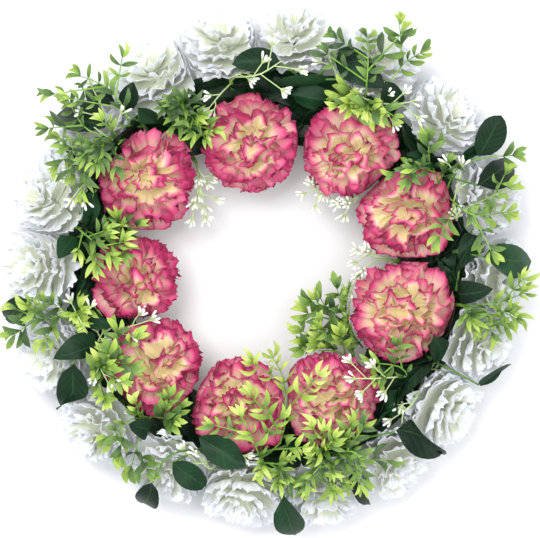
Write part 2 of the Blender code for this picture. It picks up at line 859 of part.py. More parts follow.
def main():
    for leftover in list(bpy.data.objects):
        bpy.data.objects.remove(leftover)

    pink = material("pink_and_cream_petals", (0.90, 0.36, 0.50), 0.75)
    white = material("white_petals", (0.90, 0.91, 0.93), 0.75)
    dark = material("dark_green_leaves", (0.02, 0.09, 0.03), 0.35)
    bright = material("bright_green_leaves", (0.22, 0.50, 0.04), 0.45)
    pale = material("white_green_florets", (0.80, 0.88, 0.70), 0.5)
    foam = material("green_foam", (0.05, 0.16, 0.07), 0.9)

    places = Places()
    ring = base_ring(foam)
    corners = [vertex.co.copy() for vertex in ring.data.vertices]
    places.add("base_ring", (corners, [tuple(face.vertices) for face in ring.data.polygons]))
    stems = []
    objects = []

    blooms = make_blooms()
    for bloom in blooms:
        pieces = bloom_pieces(bloom)
        for piece in pieces:
            places.add(bloom.name, piece)
        stems.append((bloom_stem_path(bloom), BLOOM_STEM_RADIUS, BLOOM_STEM_SIDES))
        objects.append(fused(bloom.name, pieces, pink if bloom.name.startswith("pink") else white))

    growing = [("dark_leaf_spray", leaf_spray, dark, row[0], "crown", row[1]) for row in LEAF_SPRAYS]
    growing += [("filler_spray", filler_spray, pale, *row) for row in FILLERS]
    growing += [("leafy_sprig", sprig, bright, *row) for row in SPRIGS]
    numbers = {}
    rooted = []
    for kind, grow, finish, bearing, origin, reaches in growing:
        numbers[kind] = numbers.get(kind, 0) + 1
        node = f"{kind}_{numbers[kind]:02d}"
        stem = find_stem(blooms, places, node, bearing, origin)
        radii = [SPRAY_STEM_RADIUS] * 2 + [SPRAY_STEM_RADIUS * 0.9]
        rooted.append((node, grow, finish, stem, tube(stem, radii, SPRAY_STEM_SIDES), reaches))
        places.add(node, tube(stem[1:], radii[1:], SPRAY_STEM_SIDES))
        stems.append((stem, SPRAY_STEM_RADIUS, SPRAY_STEM_SIDES))
    for index, (node, grow, finish, stem, root, reaches) in enumerate(rooted):
        pieces = grow(blooms, places, node, stem, reaches, SEED * 1000 + index)
        objects.append(fused(node, [root] + pieces, finish))

    cut_stem_holes(ring, stems)
    objects.append(ring)

    corners = [v.co for made in objects for v in made.data.vertices]
    middle_x = (min(p.x for p in corners) + max(p.x for p in corners)) / 2
    middle_y = (min(p.y for p in corners) + max(p.y for p in corners)) / 2
    for made in objects:
        for vertex in made.data.vertices:
            vertex.co -= Vector((middle_x, middle_y, 0))
    print(f"centred by {middle_x * 1000:.2f}, {middle_y * 1000:.2f} mm")


main()
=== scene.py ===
# Carnation wreath: its looks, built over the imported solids.
# It lies on its flat back with the blooms up, so +Z is the front of the wreath and +Y its top.

import math
import random

import bmesh
import bpy
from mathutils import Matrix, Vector, noise


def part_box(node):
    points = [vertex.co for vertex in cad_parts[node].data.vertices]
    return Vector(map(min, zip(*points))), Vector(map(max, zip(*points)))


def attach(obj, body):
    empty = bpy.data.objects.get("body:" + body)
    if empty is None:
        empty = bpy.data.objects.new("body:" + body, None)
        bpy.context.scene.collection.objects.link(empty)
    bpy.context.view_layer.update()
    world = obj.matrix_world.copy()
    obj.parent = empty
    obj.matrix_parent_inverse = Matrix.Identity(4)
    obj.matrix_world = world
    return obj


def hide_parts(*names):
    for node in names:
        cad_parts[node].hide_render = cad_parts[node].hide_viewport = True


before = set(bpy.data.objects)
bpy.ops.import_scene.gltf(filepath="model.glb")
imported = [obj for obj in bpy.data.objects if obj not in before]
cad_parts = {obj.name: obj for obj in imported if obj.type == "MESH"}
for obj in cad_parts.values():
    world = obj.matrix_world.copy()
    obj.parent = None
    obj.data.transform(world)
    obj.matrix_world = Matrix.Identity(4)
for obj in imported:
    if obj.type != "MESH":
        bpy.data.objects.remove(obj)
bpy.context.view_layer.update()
mm = 0.001
up = Vector((0, 0, 1))
ringLow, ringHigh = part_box("base_ring")
ringCentre = Vector(((ringLow.x + ringHigh.x) / 2, (ringLow.y + ringHigh.y) / 2, 0))
print("solids loaded")


def millimetres(place):
    return Vector(place) * mm


def polar(bearing, distance, height):
    # bearings run in degrees from +X towards +Y, distances and heights are in mm
    angle = math.radians(bearing)
    flat = Vector((math.cos(angle) * distance, math.sin(angle) * distance, height))
    return ringCentre + flat * mm


# Material helpers

def linear(hexColour):
    # sRGB hex to the linear values that a shader takes
    parts = [int(hexColour[i:i + 2], 16) / 255 for i in (1, 3, 5)]
    return (*[c / 12.92 if c <= 0.04045 else ((c + 0.055) / 1.055) ** 2.4 for c in parts], 1)


def addNode(tree, kind, values=None, links=None, **settings):
    node = tree.nodes.new(kind)
    for name, value in settings.items():
        setattr(node, name, value)
    for socket, value in (values or {}).items():
        node.inputs[socket].default_value = value
    for socket, source in (links or {}).items():
        tree.links.new(source, node.inputs[socket])
    return node


def newMaterial(look):
    made = bpy.data.materials.new(look["name"])
    made.use_nodes = True
    shader = made.node_tree.nodes["Principled BSDF"]
    shader.inputs["Roughness"].default_value = look["roughness"]
    shader.inputs["Specular IOR Level"].default_value = look["shine"]
    shader.inputs["Sheen Weight"].default_value = look.get("sheen", 0.0)
    return made, made.node_tree, shader


def calculate(tree, operation, *values, clamp=False):
    # a maths node; each value is a number or the output that it comes from
    numbers = {i: value for i, value in enumerate(values) if isinstance(value, (int, float))}
    outputs = {i: value for i, value in enumerate(values) if i not in numbers}
    node = addNode(tree, "ShaderNodeMath", numbers, outputs, operation=operation, use_clamp=clamp)
    return node.outputs[0]


def attribute(tree, name):
    return addNode(tree, "ShaderNodeAttribute", attribute_name=name).outputs["Fac"]


def sheetPlace(tree):
    return addNode(tree, "ShaderNodeUVMap", uv_map="petal").outputs["UV"]


def addNoise(tree, place, scale, detail, roughness=0.5):
    values = {"Scale": scale, "Detail": detail, "Roughness": roughness}
    return addNode(tree, "ShaderNodeTexNoise", values, {"Vector": place}).outputs["Fac"]


def addMottle(tree, size, detail):
    # patches about as wide as size, in mm
    place = addNode(tree, "ShaderNodeTexCoord").outputs["Object"]
    return addNoise(tree, place, 1 / (size * mm), detail)


def addStreaks(tree, repeats, detail, roughness=0.5):
    # noise drawn out along a sheet, by how often it repeats across the sheet and along it
    stretch = addNode(tree, "ShaderNodeMapping", {"Scale": (*repeats, 1)},
                      {"Vector": sheetPlace(tree)})
    return addNoise(tree, stretch.outputs["Vector"], 1.0, detail, roughness)


def addShift(tree, base, pattern, amount):
    # moves a value up and down by a noise, about the noise's middle
    centred = calculate(tree, "SUBTRACT", pattern, 0.5)
    return calculate(tree, "MULTIPLY_ADD", centred, amount, base)


def addTone(tree, base, amount):
    # makes each petal or leaf a little different from the next
    return calculate(tree, "MULTIPLY_ADD", attribute(tree, "tone"), amount, base, clamp=True)


def addRange(tree, value, start, end, first=0.0, last=1.0):
    ranges = {"From Min": start, "From Max": end, "To Min": first, "To Max": last}
    return addNode(tree, "ShaderNodeMapRange", ranges, {"Value": value}).outputs[0]


def fromMidrib(tree):
    # how far a point lies from the leaf's middle line, 0.5 at its edge, and how far along the leaf
    parts = addNode(tree, "ShaderNodeSeparateXYZ", links={"Vector": sheetPlace(tree)})
    across = calculate(tree, "SUBTRACT", parts.outputs["X"], 0.5)
    return calculate(tree, "ABSOLUTE", across), parts.outputs["Y"]


def addRamp(tree, share, stops):
    ramp = addNode(tree, "ShaderNodeValToRGB", links={"Fac": share})
    while len(ramp.color_ramp.elements) < len(stops):
        ramp.color_ramp.elements.new(0.5)
    for element, place in zip(ramp.color_ramp.elements, sorted(stops)):
        element.position = place
        element.color = linear(stops[place])
    return ramp.outputs["Color"]


def paint(tree, shader, share, look):
    tree.links.new(addRamp(tree, share, look["stops"]), shader.inputs["Base Color"])


def addBump(tree, shader, height, look, invert=False):
    strength, depth = look["bump"]
    bump = addNode(tree, "ShaderNodeBump", {"Strength": strength, "Distance": depth},
                   {"Height": height}, invert=invert)
    tree.links.new(bump.outputs["Normal"], shader.inputs["Normal"])


# Materials. Stops are colours from root to edge or from dark to light, bump is strength and depth

picotee = {
    "name": "pressedPolyesterPicotee",
    "stops": {0.0: "#EFE0AC", 0.12: "#F4E4BE", 0.27: "#F6DDC4", 0.43: "#F2C1B4", 0.61: "#EB95A6",
              0.80: "#E06894", 0.92: "#D43E79", 1.0: "#A9265A"},
    "threads": (26, 1.6),  # how often the dye's streaks repeat across a petal and along it
    "streaks": (3.0, 0.6),  # their detail and roughness
    "bleed": 0.20,  # how far the dye runs in along the threads
    "patchSize": 23.81,  # mm
    "patchShift": 0.65,  # how much pinker or creamier one patch is than the next
    "petalShift": 0.09,  # the same from petal to petal
    "crimps": (60, 5),
    "bump": (0.5, 1.2 * mm),
    "roughness": 0.72, "shine": 0.3, "sheen": 0.15,
}
whiteCloth = dict(
    picotee, name="pressedPolyesterWhite",
    stops={0.0: "#E8ECD8", 0.25: "#EFF2EC", 0.5: "#F1F4F6", 0.80: "#F3F6FA", 1.0: "#F6F9FD"},
    threads=(20, 2), streaks=(2.0, 0.5), patchShift=0.0, petalShift=0.08, roughness=0.6, sheen=0.25)


def makeCloth(look):
    # heat-pressed polyester satin. The picotee is cream with cut edges dyed magenta, and the dye
    # bleeds in along the threads. The white is undyed and turns pale green at the petal's root
    made, tree, shader = newMaterial(look)
    streaks = addStreaks(tree, look["threads"], *look["streaks"])
    share = addShift(tree, attribute(tree, "rim"), streaks, look["bleed"])
    if look["patchShift"]:
        share = addShift(tree, share, addMottle(tree, look["patchSize"], 2.0), look["patchShift"])
    paint(tree, shader, addTone(tree, share, look["petalShift"]), look)
    # radial crimps pressed by the mould, 0.8 mm apart because real threads of 0.2 mm don't show
    addBump(tree, shader, addStreaks(tree, look["crimps"], 2.0), look)
    return made


darkLeaf = {
    "name": "resinCoatedLeaf",
    "stops": {0.0: "#0A2011", 0.45: "#12321B", 0.75: "#1B4224", 1.0: "#28562E"},
    "mottleSize": 16.667,
    "leafShift": 0.45,
    "darker": 0.22,
    "vein": "#335E35",
    "veinPairs": 7.0,
    "veinSlant": 0.55,
    "veinFrom": 0.86,  # of a sine, so that the veins are thin
    "sideVeins": 0.35,  # how strong they are beside the midrib
    "veinShare": 0.55,
    "ribWidth": 0.035,
    "bump": (0.5, 0.5 * mm),
    "roughness": 0.40, "shine": 0.20,
}


def makeDarkLeaf():
    # printed polyester with a glossy resin coat: dark green, pale midrib, side veins pressed in
    made, tree, shader = newMaterial(darkLeaf)
    mottle = addMottle(tree, darkLeaf["mottleSize"], 3.0)
    toned = calculate(tree, "MULTIPLY_ADD", attribute(tree, "tone"), darkLeaf["leafShift"], mottle)
    green = addRamp(tree, calculate(tree, "SUBTRACT", toned, darkLeaf["darker"], clamp=True),
                    darkLeaf["stops"])
    # side veins: lines that slant forwards from the midrib
    apart, along = fromMidrib(tree)
    slant = calculate(tree, "MULTIPLY_ADD", apart, -darkLeaf["veinSlant"], along)
    wave = calculate(tree, "MULTIPLY", slant, math.tau * darkLeaf["veinPairs"])
    veins = addRange(tree, calculate(tree, "SINE", wave), darkLeaf["veinFrom"], 1.0)
    midrib = addRange(tree, apart, 0.0, darkLeaf["ribWidth"], 1.0, 0.0)
    lines = calculate(tree, "MULTIPLY_ADD", veins, darkLeaf["sideVeins"], midrib, clamp=True)
    share = calculate(tree, "MULTIPLY", lines, darkLeaf["veinShare"])
    mixed = addNode(tree, "ShaderNodeMix", links={0: share, 6: green}, data_type="RGBA")
    mixed.inputs[7].default_value = linear(darkLeaf["vein"])
    tree.links.new(mixed.outputs[2], shader.inputs["Base Color"])
    addBump(tree, shader, lines, darkLeaf, invert=True)
    return made


# moulded soft polyethylene, tinted by spraying: mid green at the root, yellow-green at the tips
brightLeaf = {
    "name": "mouldedSoftLeaf",
    "stops": {0.0: "#2C4620", 0.28: "#4A6C2C", 0.52: "#71933A", 0.78: "#9CB845", 1.0: "#C2D26C"},
    "mottle": (6.25, 2.0),  # size in mm, and detail
    "mottleShift": 0.35, "leafShift": 0.22,
    "ribWidth": 0.10,
    "bump": (0.5, 0.4 * mm),
    "roughness": 0.45, "shine": 0.45,
}
# moulded polyethylene florets: green-white stalks that turn white at the club's end
floretPlastic = {
    "name": "mouldedFloret",
    "stops": {0.0: "#A9C67A", 0.40: "#CFDFA6", 0.70: "#EDF3DD", 1.0: "#FBFCF6"},
    "mottle": (5.0, 2.0),
    "mottleShift": 0.25, "leafShift": 0.0,
    "bump": (0.15, 0.4 * mm),
    "roughness": 0.5, "shine": 0.4,
}
# extruded polyethylene over wire: faintly mottled, with a low sheen
stemPlastic = {
    "name": "stemPolyethylene",
    "stops": {0.3: "#41702C", 0.7: "#6F9A4A"},
    "mottle": (8.333, 3.0),
    "bump": (0.2, 0.4 * mm),
    "roughness": 0.5, "shine": 0.4,
}
sprigPlastic = dict(stemPlastic, name="sprigPolyethylene", stops={0.3: "#5E9334", 0.7: "#8FB84E"})


def makePlastic(look):
    made, tree, shader = newMaterial(look)
    mottle = share = addMottle(tree, *look["mottle"])
    if "mottleShift" in look:  # leaves and florets ripen towards the tip
        share = addShift(tree, attribute(tree, "rim"), mottle, look["mottleShift"])
        share = addTone(tree, share, look["leafShift"])
    paint(tree, shader, share, look)
    if "ribWidth" in look:
        apart, _ = fromMidrib(tree)
        midrib = addRange(tree, apart, 0.0, look["ribWidth"], 1.0, 0.0)
        addBump(tree, shader, midrib, look, invert=True)
    else:
        addBump(tree, shader, mottle, look)
    return made


foam = {
    "name": "flowerFoam",
    "stops": {0.25: "#16301A", 0.5: "#22482A", 0.8: "#356339"},
    "poreSize": 1.6,
    "crumbSize": 3.333,
    "crumbHeight": 0.6,
    "bump": (0.8, 1.0 * mm),
    "roughness": 0.95, "shine": 0.2,
}


def makeFoam():
    # dry phenolic flower foam: matt, crumbly and full of pores
    made, tree, shader = newMaterial(foam)
    place = addNode(tree, "ShaderNodeTexCoord").outputs["Object"]
    pores = addNode(tree, "ShaderNodeTexVoronoi", {"Scale": 1 / (foam["poreSize"] * mm)},
                    {"Vector": place})
    crumbs = addMottle(tree, foam["crumbSize"], 5.0)
    paint(tree, shader, crumbs, foam)
    height = calculate(tree, "MULTIPLY_ADD", crumbs, foam["crumbHeight"], pores.outputs["Distance"])
    addBump(tree, shader, height, foam)
    return made


# Where the heads stand, as in the solids: bearing, distance, radius and lean. The fifth value is
# how far a pink head leans to pink (above 0) or to cream

pinkHeads = (
    (97.3, 107, 42, 12, 0.0), (54.4, 122, 43, 16, -0.03), (21.7, 127, 44, 18, -0.02),
    (343.9, 121, 46, 14, -0.08), (295.9, 125, 42, 15, -0.1), (258.7, 122, 44, 14, -0.06),
    (220.9, 126, 44, 16, 0.02), (184.9, 111, 39, 14, 0.04), (143.9, 127, 44, 15, 0.08),
)
whiteHeads = (
    (120.2, 191, 42, 46), (102.3, 193, 43, 50), (82.8, 196, 43, 52), (61.0, 197, 42, 54),
    (40.5, 198, 42, 52), (18.0, 197, 41, 56), (357.5, 195, 41, 57), (340.0, 191, 42, 56),
    (322.0, 191, 43, 56), (303.0, 195, 42, 56), (284.0, 196, 42, 58), (264.0, 191, 44, 60),
    (244.0, 191, 42, 56), (223.0, 196, 42, 54), (201.5, 197, 42, 52), (180.5, 195, 43, 46),
    (161.5, 196, 43, 46), (141.0, 190, 38, 52),
)
headForm = {
    "pink": (62, 0.60), "white": (47, 0.64),  # the widest ring's height in mm, the dome's share
    "underside": 0.42,  # share of the radius, like the dome's
    "skirt": 0.22,  # how far the lowest petals hang below the widest ring
    "pinch": 0.45,  # how far a heart's folds are drawn out to a slot
    "heartOff": 0.12,  # how far the heart lies off the middle
    "press": 0.06,  # how far petals may stand out of the dome
    "gap": 0.4 * mm, "softness": 7 * mm,  # between neighbours, and where they begin to press
    "near": 4 * mm,
}
ceiling = {"height": 92 * mm, "give": 11 * mm, "softness": 16 * mm, "top": 96 * mm, "room": 24 * mm}


def makeHead(name, bearing, distance, radius, lean, blush=0.0):
    pink = name.startswith("pink")
    height, dome = headForm["pink" if pink else "white"]
    tilt = math.radians(-lean if pink else lean)  # pink heads lean inwards and white ones outwards
    outwards = (polar(bearing, 1000, 0) - ringCentre).normalized()
    axis = outwards * math.sin(tilt) + up * math.cos(tilt)
    side = up.cross(outwards).normalized()
    return {"name": name, "pink": pink, "blush": blush, "centre": polar(bearing, distance, height),
            "radius": radius * mm, "top": radius * dome * mm,
            "underside": radius * headForm["underside"] * mm,
            "axis": axis, "side": side, "other": axis.cross(side), "planes": []}


def aroundHead(head, angle):
    return head["side"] * math.cos(angle) + head["other"] * math.sin(angle)


def placeInHead(head, radius, angle, height):
    # the heart is off the middle and its folds are drawn out to a slot
    around = aroundHead(head, angle) * radius
    inner = max(0.0, 1 - radius / head["radius"])
    slot = head["slot"]
    around += head["heart"] * inner - slot * around.dot(slot) * headForm["pinch"] * inner
    reach = math.hypot(around.length / head["radius"], max(height, 0.0) / head["top"])
    if reach > 1:  # what stands out of the dome is pressed back softly
        soft = headForm["press"]
        press = (1 + soft * math.tanh((reach - 1) / soft)) / reach
        around, height = around * press, height * press if height > 0 else height
    point = head["centre"] + head["axis"] * height + around
    softness = headForm["softness"]
    for origin, normal in head["planes"]:  # a neighbour presses the petals back softly
        beyond = (point - origin).dot(normal) + headForm["gap"]
        if beyond > -softness:
            kept = -softness * math.exp(-(beyond + softness) / softness)
            point = point + normal * (kept - beyond)
    return point


def levelInHead(head, point, margin):
    # below 1 inside the head: a dome above its widest ring and a cone below it
    offset = point - head["centre"]
    height = offset.dot(head["axis"])
    out = (offset - head["axis"] * height).length / (head["radius"] + margin)
    if height >= 0:
        return math.hypot(out, height / (head["top"] + margin))
    skirt = headForm["skirt"] * head["radius"]
    return out + max(0.0, -height - skirt) / (head["underside"] + margin)


def bentClear(point, margin):
    # moves a point out of every head that it would lie in, and presses it down softly near the top
    for _ in range(3):
        for head in heads:
            level = levelInHead(head, point, margin)
            if 0.05 < level < 1:
                point = head["centre"] + (point - head["centre"]) / level
    over = point.z - ceiling["height"]
    if over > 0:
        point.z = ceiling["height"] + ceiling["give"] * math.tanh(over / ceiling["softness"])
    return point


def roomAbove(point):
    # 1 low down and 0 near the wreath's highest points
    return min(1.0, max(0.0, (ceiling["top"] - point.z) / ceiling["room"]))


heads = [makeHead(f"pink_carnation_{i:02d}", *row) for i, row in enumerate(pinkHeads, 1)]
heads += [makeHead(f"white_carnation_{i:02d}", *row) for i, row in enumerate(whiteHeads, 1)]
for head in heads:
    for other in heads:
        span = other["centre"] - head["centre"]
        radii = head["radius"] + other["radius"]
        if other is not head and span.length < radii + headForm["near"]:
            share = head["radius"] / radii
            head["planes"].append((head["centre"] + span * share, span.normalized()))


# Mesh helpers: each adds to one bmesh per piece

finish = {"weld": 0.02 * mm, "sharpFrom": 70}


def newPiece():
    piece = bmesh.new()
    piece.loops.layers.uv.new("petal")
    piece.verts.layers.float.new("rim")
    piece.verts.layers.float.new("tone")
    return piece


def addObject(name, data):
    made = bpy.data.objects.new(name, data)
    bpy.context.scene.collection.objects.link(made)
    return made


def finishPiece(piece, node, materials, wall=0.0):
    # gives sheets their thickness, shades them smooth and puts the piece in the node's place
    bmesh.ops.remove_doubles(piece, verts=piece.verts, dist=finish["weld"])
    bmesh.ops.recalc_face_normals(piece, faces=piece.faces)
    if wall:
        sheets = [face for face in piece.faces if face.material_index == 0]
        made = bmesh.ops.extrude_face_region(piece, geom=sheets, use_keep_orig=True)["geom"]
        for part in made:
            if isinstance(part, bmesh.types.BMVert):
                part.co -= part.normal * wall
        bmesh.ops.recalc_face_normals(piece, faces=piece.faces)
    first, *words, number = node.split("_")
    name = first + "".join(word.capitalize() for word in words) + "_" + number
    mesh = bpy.data.meshes.new(name)
    piece.to_mesh(mesh)
    piece.free()
    mesh.shade_smooth()
    mesh.set_sharp_from_angle(angle=math.radians(finish["sharpFrom"]))
    for material in materials:
        mesh.materials.append(material)
    made = addObject(name, mesh)
    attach(made, "root")
    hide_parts(node)


def addSheet(piece, columns, rows, place, tone, rimOf, crowd=0):
    # a grid whose points go where place(across, along) says, across from -1 to 1, along from 0 to 1
    rim = piece.verts.layers.float["rim"]
    toneLayer = piece.verts.layers.float["tone"]
    made = bmesh.ops.create_grid(piece, x_segments=columns, y_segments=rows, size=0.5,
                                 calc_uvs=True)["verts"]
    for vertex in made:
        across, along = vertex.co.x * 2, vertex.co.y + 0.5
        if crowd:
            along = 1 - (1 - along) ** crowd  # rows stand closer towards the edge
        vertex.co = place(across, along)
        vertex[rim] = rimOf(across, along)
        vertex[toneLayer] = tone


def addTube(piece, path, radii, sides, slot, rims):
    # a round stalk along a path, closed at both ends; rims are the colour places along it
    rim = piece.verts.layers.float["rim"]
    last = len(path) - 1
    directions = [(path[min(i + 1, last)] - path[max(i - 1, 0)]).normalized()
                  for i in range(last + 1)]
    ring = bmesh.ops.create_circle(piece, cap_ends=True, radius=1.0, segments=sides)["verts"]
    turn = up.rotation_difference(directions[0])
    for vertex in ring:
        vertex.co = path[0] + turn @ (vertex.co * radii[0])
        vertex[rim] = rims[0]
    faces = list(ring[0].link_faces)
    edges = list(faces[0].edges)
    for step in range(1, last + 1):
        made = bmesh.ops.extrude_edge_only(piece, edges=edges)["geom"]
        ring = [part for part in made if isinstance(part, bmesh.types.BMVert)]
        edges = [part for part in made if isinstance(part, bmesh.types.BMEdge)
                 and part.verts[0] in ring and part.verts[1] in ring]
        faces += [part for part in made if isinstance(part, bmesh.types.BMFace)]
        turn = directions[step - 1].rotation_difference(directions[step])
        grow = radii[step] / radii[step - 1]
        for vertex in ring:
            vertex.co = path[step] + turn @ ((vertex.co - path[step - 1]) * grow)
            vertex[rim] = rims[step]
    faces += bmesh.ops.contextual_create(piece, geom=edges)["faces"]
    bmesh.ops.recalc_face_normals(piece, faces=faces)
    for face in faces:
        face.material_index = slot


def smoothPath(points, count):
    # a curve through the points, cut into equal shares of its parameter
    ends = [points[0] * 2 - points[1]] + list(points) + [points[-1] * 2 - points[-2]]
    runs = len(points) - 1
    path = []
    for step in range(count + 1):
        whole = min(step / count * runs, runs - 1e-6)
        index = int(whole)
        t = whole - index
        a, b, c, d = ends[index:index + 4]
        path.append(0.5 * (2 * b + (c - a) * t + (2 * a - 5 * b + 4 * c - d) * t * t
                           + (3 * b - a - 3 * c + d) * t * t * t))
    return path


def pathOf(places, count):
    return smoothPath([millimetres(place) for place in places], count)


def pathAt(path, share):
    # the point and the direction at a share of the path's steps
    whole = min(max(share, 0.0), 0.9999) * (len(path) - 1)
    index = int(whole)
    direction = (path[index + 1] - path[index]).normalized()
    return path[index].lerp(path[index + 1], whole - index), direction


def pathLength(path):
    return sum((b - a).length for a, b in zip(path, path[1:]))


# Carnations

pinkCarnation = {
    # each layer: petals, edge radius, edge height, root radius, root height (shares of the head's
    # radius), how upright they stand, how far each spreads beyond its share of the circle, and in
    # mm the height and length of its ruffles and the depth that the edge colour fades over, which
    # is greater on the outer petals because they are pinker
    "layers": (
        (5, 1.01, -0.10, 0.05, -0.30, 0.10, 1.40, 8.0, 12, 25),
        (6, 0.94, 0.10, 0.05, -0.22, 0.30, 1.35, 9.0, 12, 25),
        (5, 0.79, 0.28, 0.05, -0.12, 0.42, 1.35, 10.0, 13, 17),
        (5, 0.59, 0.42, 0.04, 0.00, 0.50, 1.35, 11.0, 13, 7),
        (4, 0.35, 0.52, 0.02, 0.08, 0.60, 1.70, 11.0, 13, 7),
    ),
    "fold": 0.75,  # how far the ruffles lean over sideways
    "curl": 1.8 * mm,  # how far the edges of upright petals turn out
    "frill": 1.2 * mm, "frillLength": 6.4 * mm,
    "tooth": 2.6 * mm, "toothPitch": 3.3 * mm,
    "rows": 8,
    "wildness": 0.14,  # how far petals differ in reach and height
    "scatter": 0.30,  # how far the middles of upright petals lie apart
}
whiteCarnation = {
    "layers": (
        (5, 1.00, -0.10, 0.05, -0.30, 0.10, 1.30, 6.0, 12, 25),
        (5, 0.95, 0.13, 0.05, -0.22, 0.30, 1.28, 6.5, 12, 25),
        (5, 0.82, 0.32, 0.05, -0.10, 0.42, 1.28, 7.0, 12, 17),
        (5, 0.62, 0.46, 0.04, 0.06, 0.48, 1.30, 7.5, 12, 7),
        (4, 0.38, 0.56, 0.02, 0.16, 0.58, 1.60, 8.0, 12, 7),
    ),
    "fold": 0.50, "curl": 1.6 * mm,
    "frill": 1.1 * mm, "frillLength": 7.4 * mm,
    "tooth": 2.2 * mm, "toothPitch": 3.6 * mm,
    "rows": 7, "wildness": 0.13, "scatter": 0.22,
}
petalForm = {
    "seed": 899,
    "cloth": 0.25 * mm,
    "outwardShare": 0.3,  # of the wildness: petals differ less outwards than inwards
    "liftShare": 0.5,
    "bendIn": 0.75, "bendUp": 0.30,  # where the profile bends between root and edge
    "skew": 0.10, "slope": 0.12,  # how far a petal twists, and reaches further on one side
    "ruffles": (0.8, 1.25),
    "corners": 0.16,  # how much shorter a petal is at its sides
    "frillFrom": 0.35, "curlFrom": 0.75,  # along the petal
    "scallops": 0.16,  # how far lobes of the edge reach out
    "foot": 0.6, "widening": 0.7,  # the root's width, and how the petal widens
    "change": 1.2,  # of the ruffles along the petal
    "crowd": 1.35,
    "gaps": 0.16,  # how unevenly the petals of a layer stand
}
calyx = {
    "top": 0.72,  # share of the head's underside
    "collar": (3 * mm, 7 * mm),
    "length": 16 * mm, "radius": 6.2 * mm, "stemRadius": 2.2 * mm, "sides": 10,
    "pinkDepth": 49 * mm, "whiteDepth": 44 * mm, "ringInset": 136 * mm,
}


def addPetal(piece, head, kind, layer, turn, draw):
    (count, edgeRadius, edgeHeight, rootRadius, rootHeight, upright, overlap, ruffle, ruffleLength,
     rimDepth) = layer
    form = petalForm
    radius = head["radius"]
    wild = kind["wildness"]
    reach = radius * edgeRadius * (1 + draw.uniform(-wild, wild * form["outwardShare"]))
    lift = radius * (edgeHeight + draw.uniform(-wild, wild) * form["liftShare"])
    root = Vector((rootRadius, rootHeight)) * radius
    edge = Vector((reach, lift))
    bend = Vector((root.x + (edge.x - root.x) * (1 - upright * form["bendIn"]),
                   root.y + (edge.y - root.y) * form["bendUp"] * (1 - upright)))
    halfWidth = math.pi / count * overlap
    arc = 2 * halfWidth * max(reach, radius * 0.3)
    ruffleLength *= mm
    span = arc / ruffleLength
    frills = arc / kind["frillLength"]
    seed, phase = draw.uniform(0, 100), draw.uniform(0, math.tau)
    away = draw.uniform(0, math.tau)
    head["heart"] = head["middle"] + aroundHead(head, away) * (radius * kind["scatter"] * upright)
    skew = draw.uniform(-form["skew"], form["skew"])
    slope = draw.uniform(-form["slope"], form["slope"])
    columns = max(12, 2 * round(arc / kind["toothPitch"]))
    amount = ruffle * mm * draw.uniform(*form["ruffles"])
    length = (bend - root).length + (edge - bend).length

    def place(across, along):
        t = along * (1 - form["corners"] * abs(across) ** 3)
        first, second = root.lerp(bend, t), bend.lerp(edge, t)
        forwards = (second - first).normalized()
        wave = noise.noise(Vector((across * span, seed, t * form["change"])))
        drift = noise.noise(Vector((across * span, seed + 30, t * form["change"])))
        lobe = noise.noise(Vector((across * span * 0.7, seed + 60, 0)))
        frill = (math.sin(math.pi * frills * across + phase) * max(0.0, t - form["frillFrom"])
                 / (1 - form["frillFrom"]))
        swing = amount * t * t * wave + kind["frill"] * frill
        moved = (first.lerp(second, t) + Vector((-forwards.y, forwards.x)) * swing
                 + forwards * (t * t * lobe * form["scallops"] * radius))
        curl = kind["curl"] * upright * max(0.0, t - form["curlFrom"]) ** 2 * 16
        moved.x = moved.x * (1 + slope * across * t) + curl
        if along > 0.999:
            step = round((across + 1) / 2 * columns)
            moved += forwards * (kind["tooth"] * (0.5 if step % 2 else -0.5))
        fold = drift * t * t * kind["fold"] * ruffleLength
        spread = halfWidth * (form["foot"] + (1 - form["foot"]) * t ** form["widening"])
        angle = turn + spread * across + skew * t - fold / max(moved.x, radius * 0.25)
        return placeInHead(head, max(moved.x, 0.5 * mm), angle, moved.y)

    # rim is 1 at the edge and falls by 1 over the layer's depth
    addSheet(piece, columns, kind["rows"], place, draw.uniform(-1, 1),
             lambda across, along: (1 - (1 - along) * length / (rimDepth * mm)
                                    + head["blush"] * (1 - along ** 8)), form["crowd"])


def calyxPath(head):
    # inside the head, at the calyx's foot and at the stem's end in the ring
    top = head["underside"] * calyx["top"]
    depths = (*[top + depth for depth in calyx["collar"]], top + calyx["length"],
              calyx["pinkDepth" if head["pink"] else "whiteDepth"])
    points = [head["centre"] - head["axis"] * depth for depth in depths]
    outwards = points[-1] - ringCentre
    outwards.z = 0
    points[-1] += outwards.normalized() * max(0.0, calyx["ringInset"] - outwards.length)
    return points


def makeCarnation(head, number):
    kind = pinkCarnation if head["pink"] else whiteCarnation
    draw = random.Random(petalForm["seed"] + number)
    turn, away = draw.uniform(0, math.tau), draw.uniform(0, math.tau)
    head["slot"] = aroundHead(head, turn)
    head["middle"] = aroundHead(head, away) * head["radius"] * headForm["heartOff"]
    gaps = petalForm["gaps"]
    piece = newPiece()
    for layer in kind["layers"]:
        start = draw.uniform(0, math.tau)
        for petal in range(layer[0]):
            turn = start + math.tau * (petal + draw.uniform(-gaps, gaps)) / layer[0]
            addPetal(piece, head, kind, layer, turn, draw)
    radii = (calyx["radius"] * 0.8, calyx["radius"], calyx["stemRadius"] * 1.3, calyx["stemRadius"])
    addTube(piece, calyxPath(head), radii, calyx["sides"], 1, (0.3, 0.3, 0.2, 0.2))
    finishPiece(piece, head["name"], (picoteeCloth if head["pink"] else plainCloth, stemGreen),
                petalForm["cloth"])


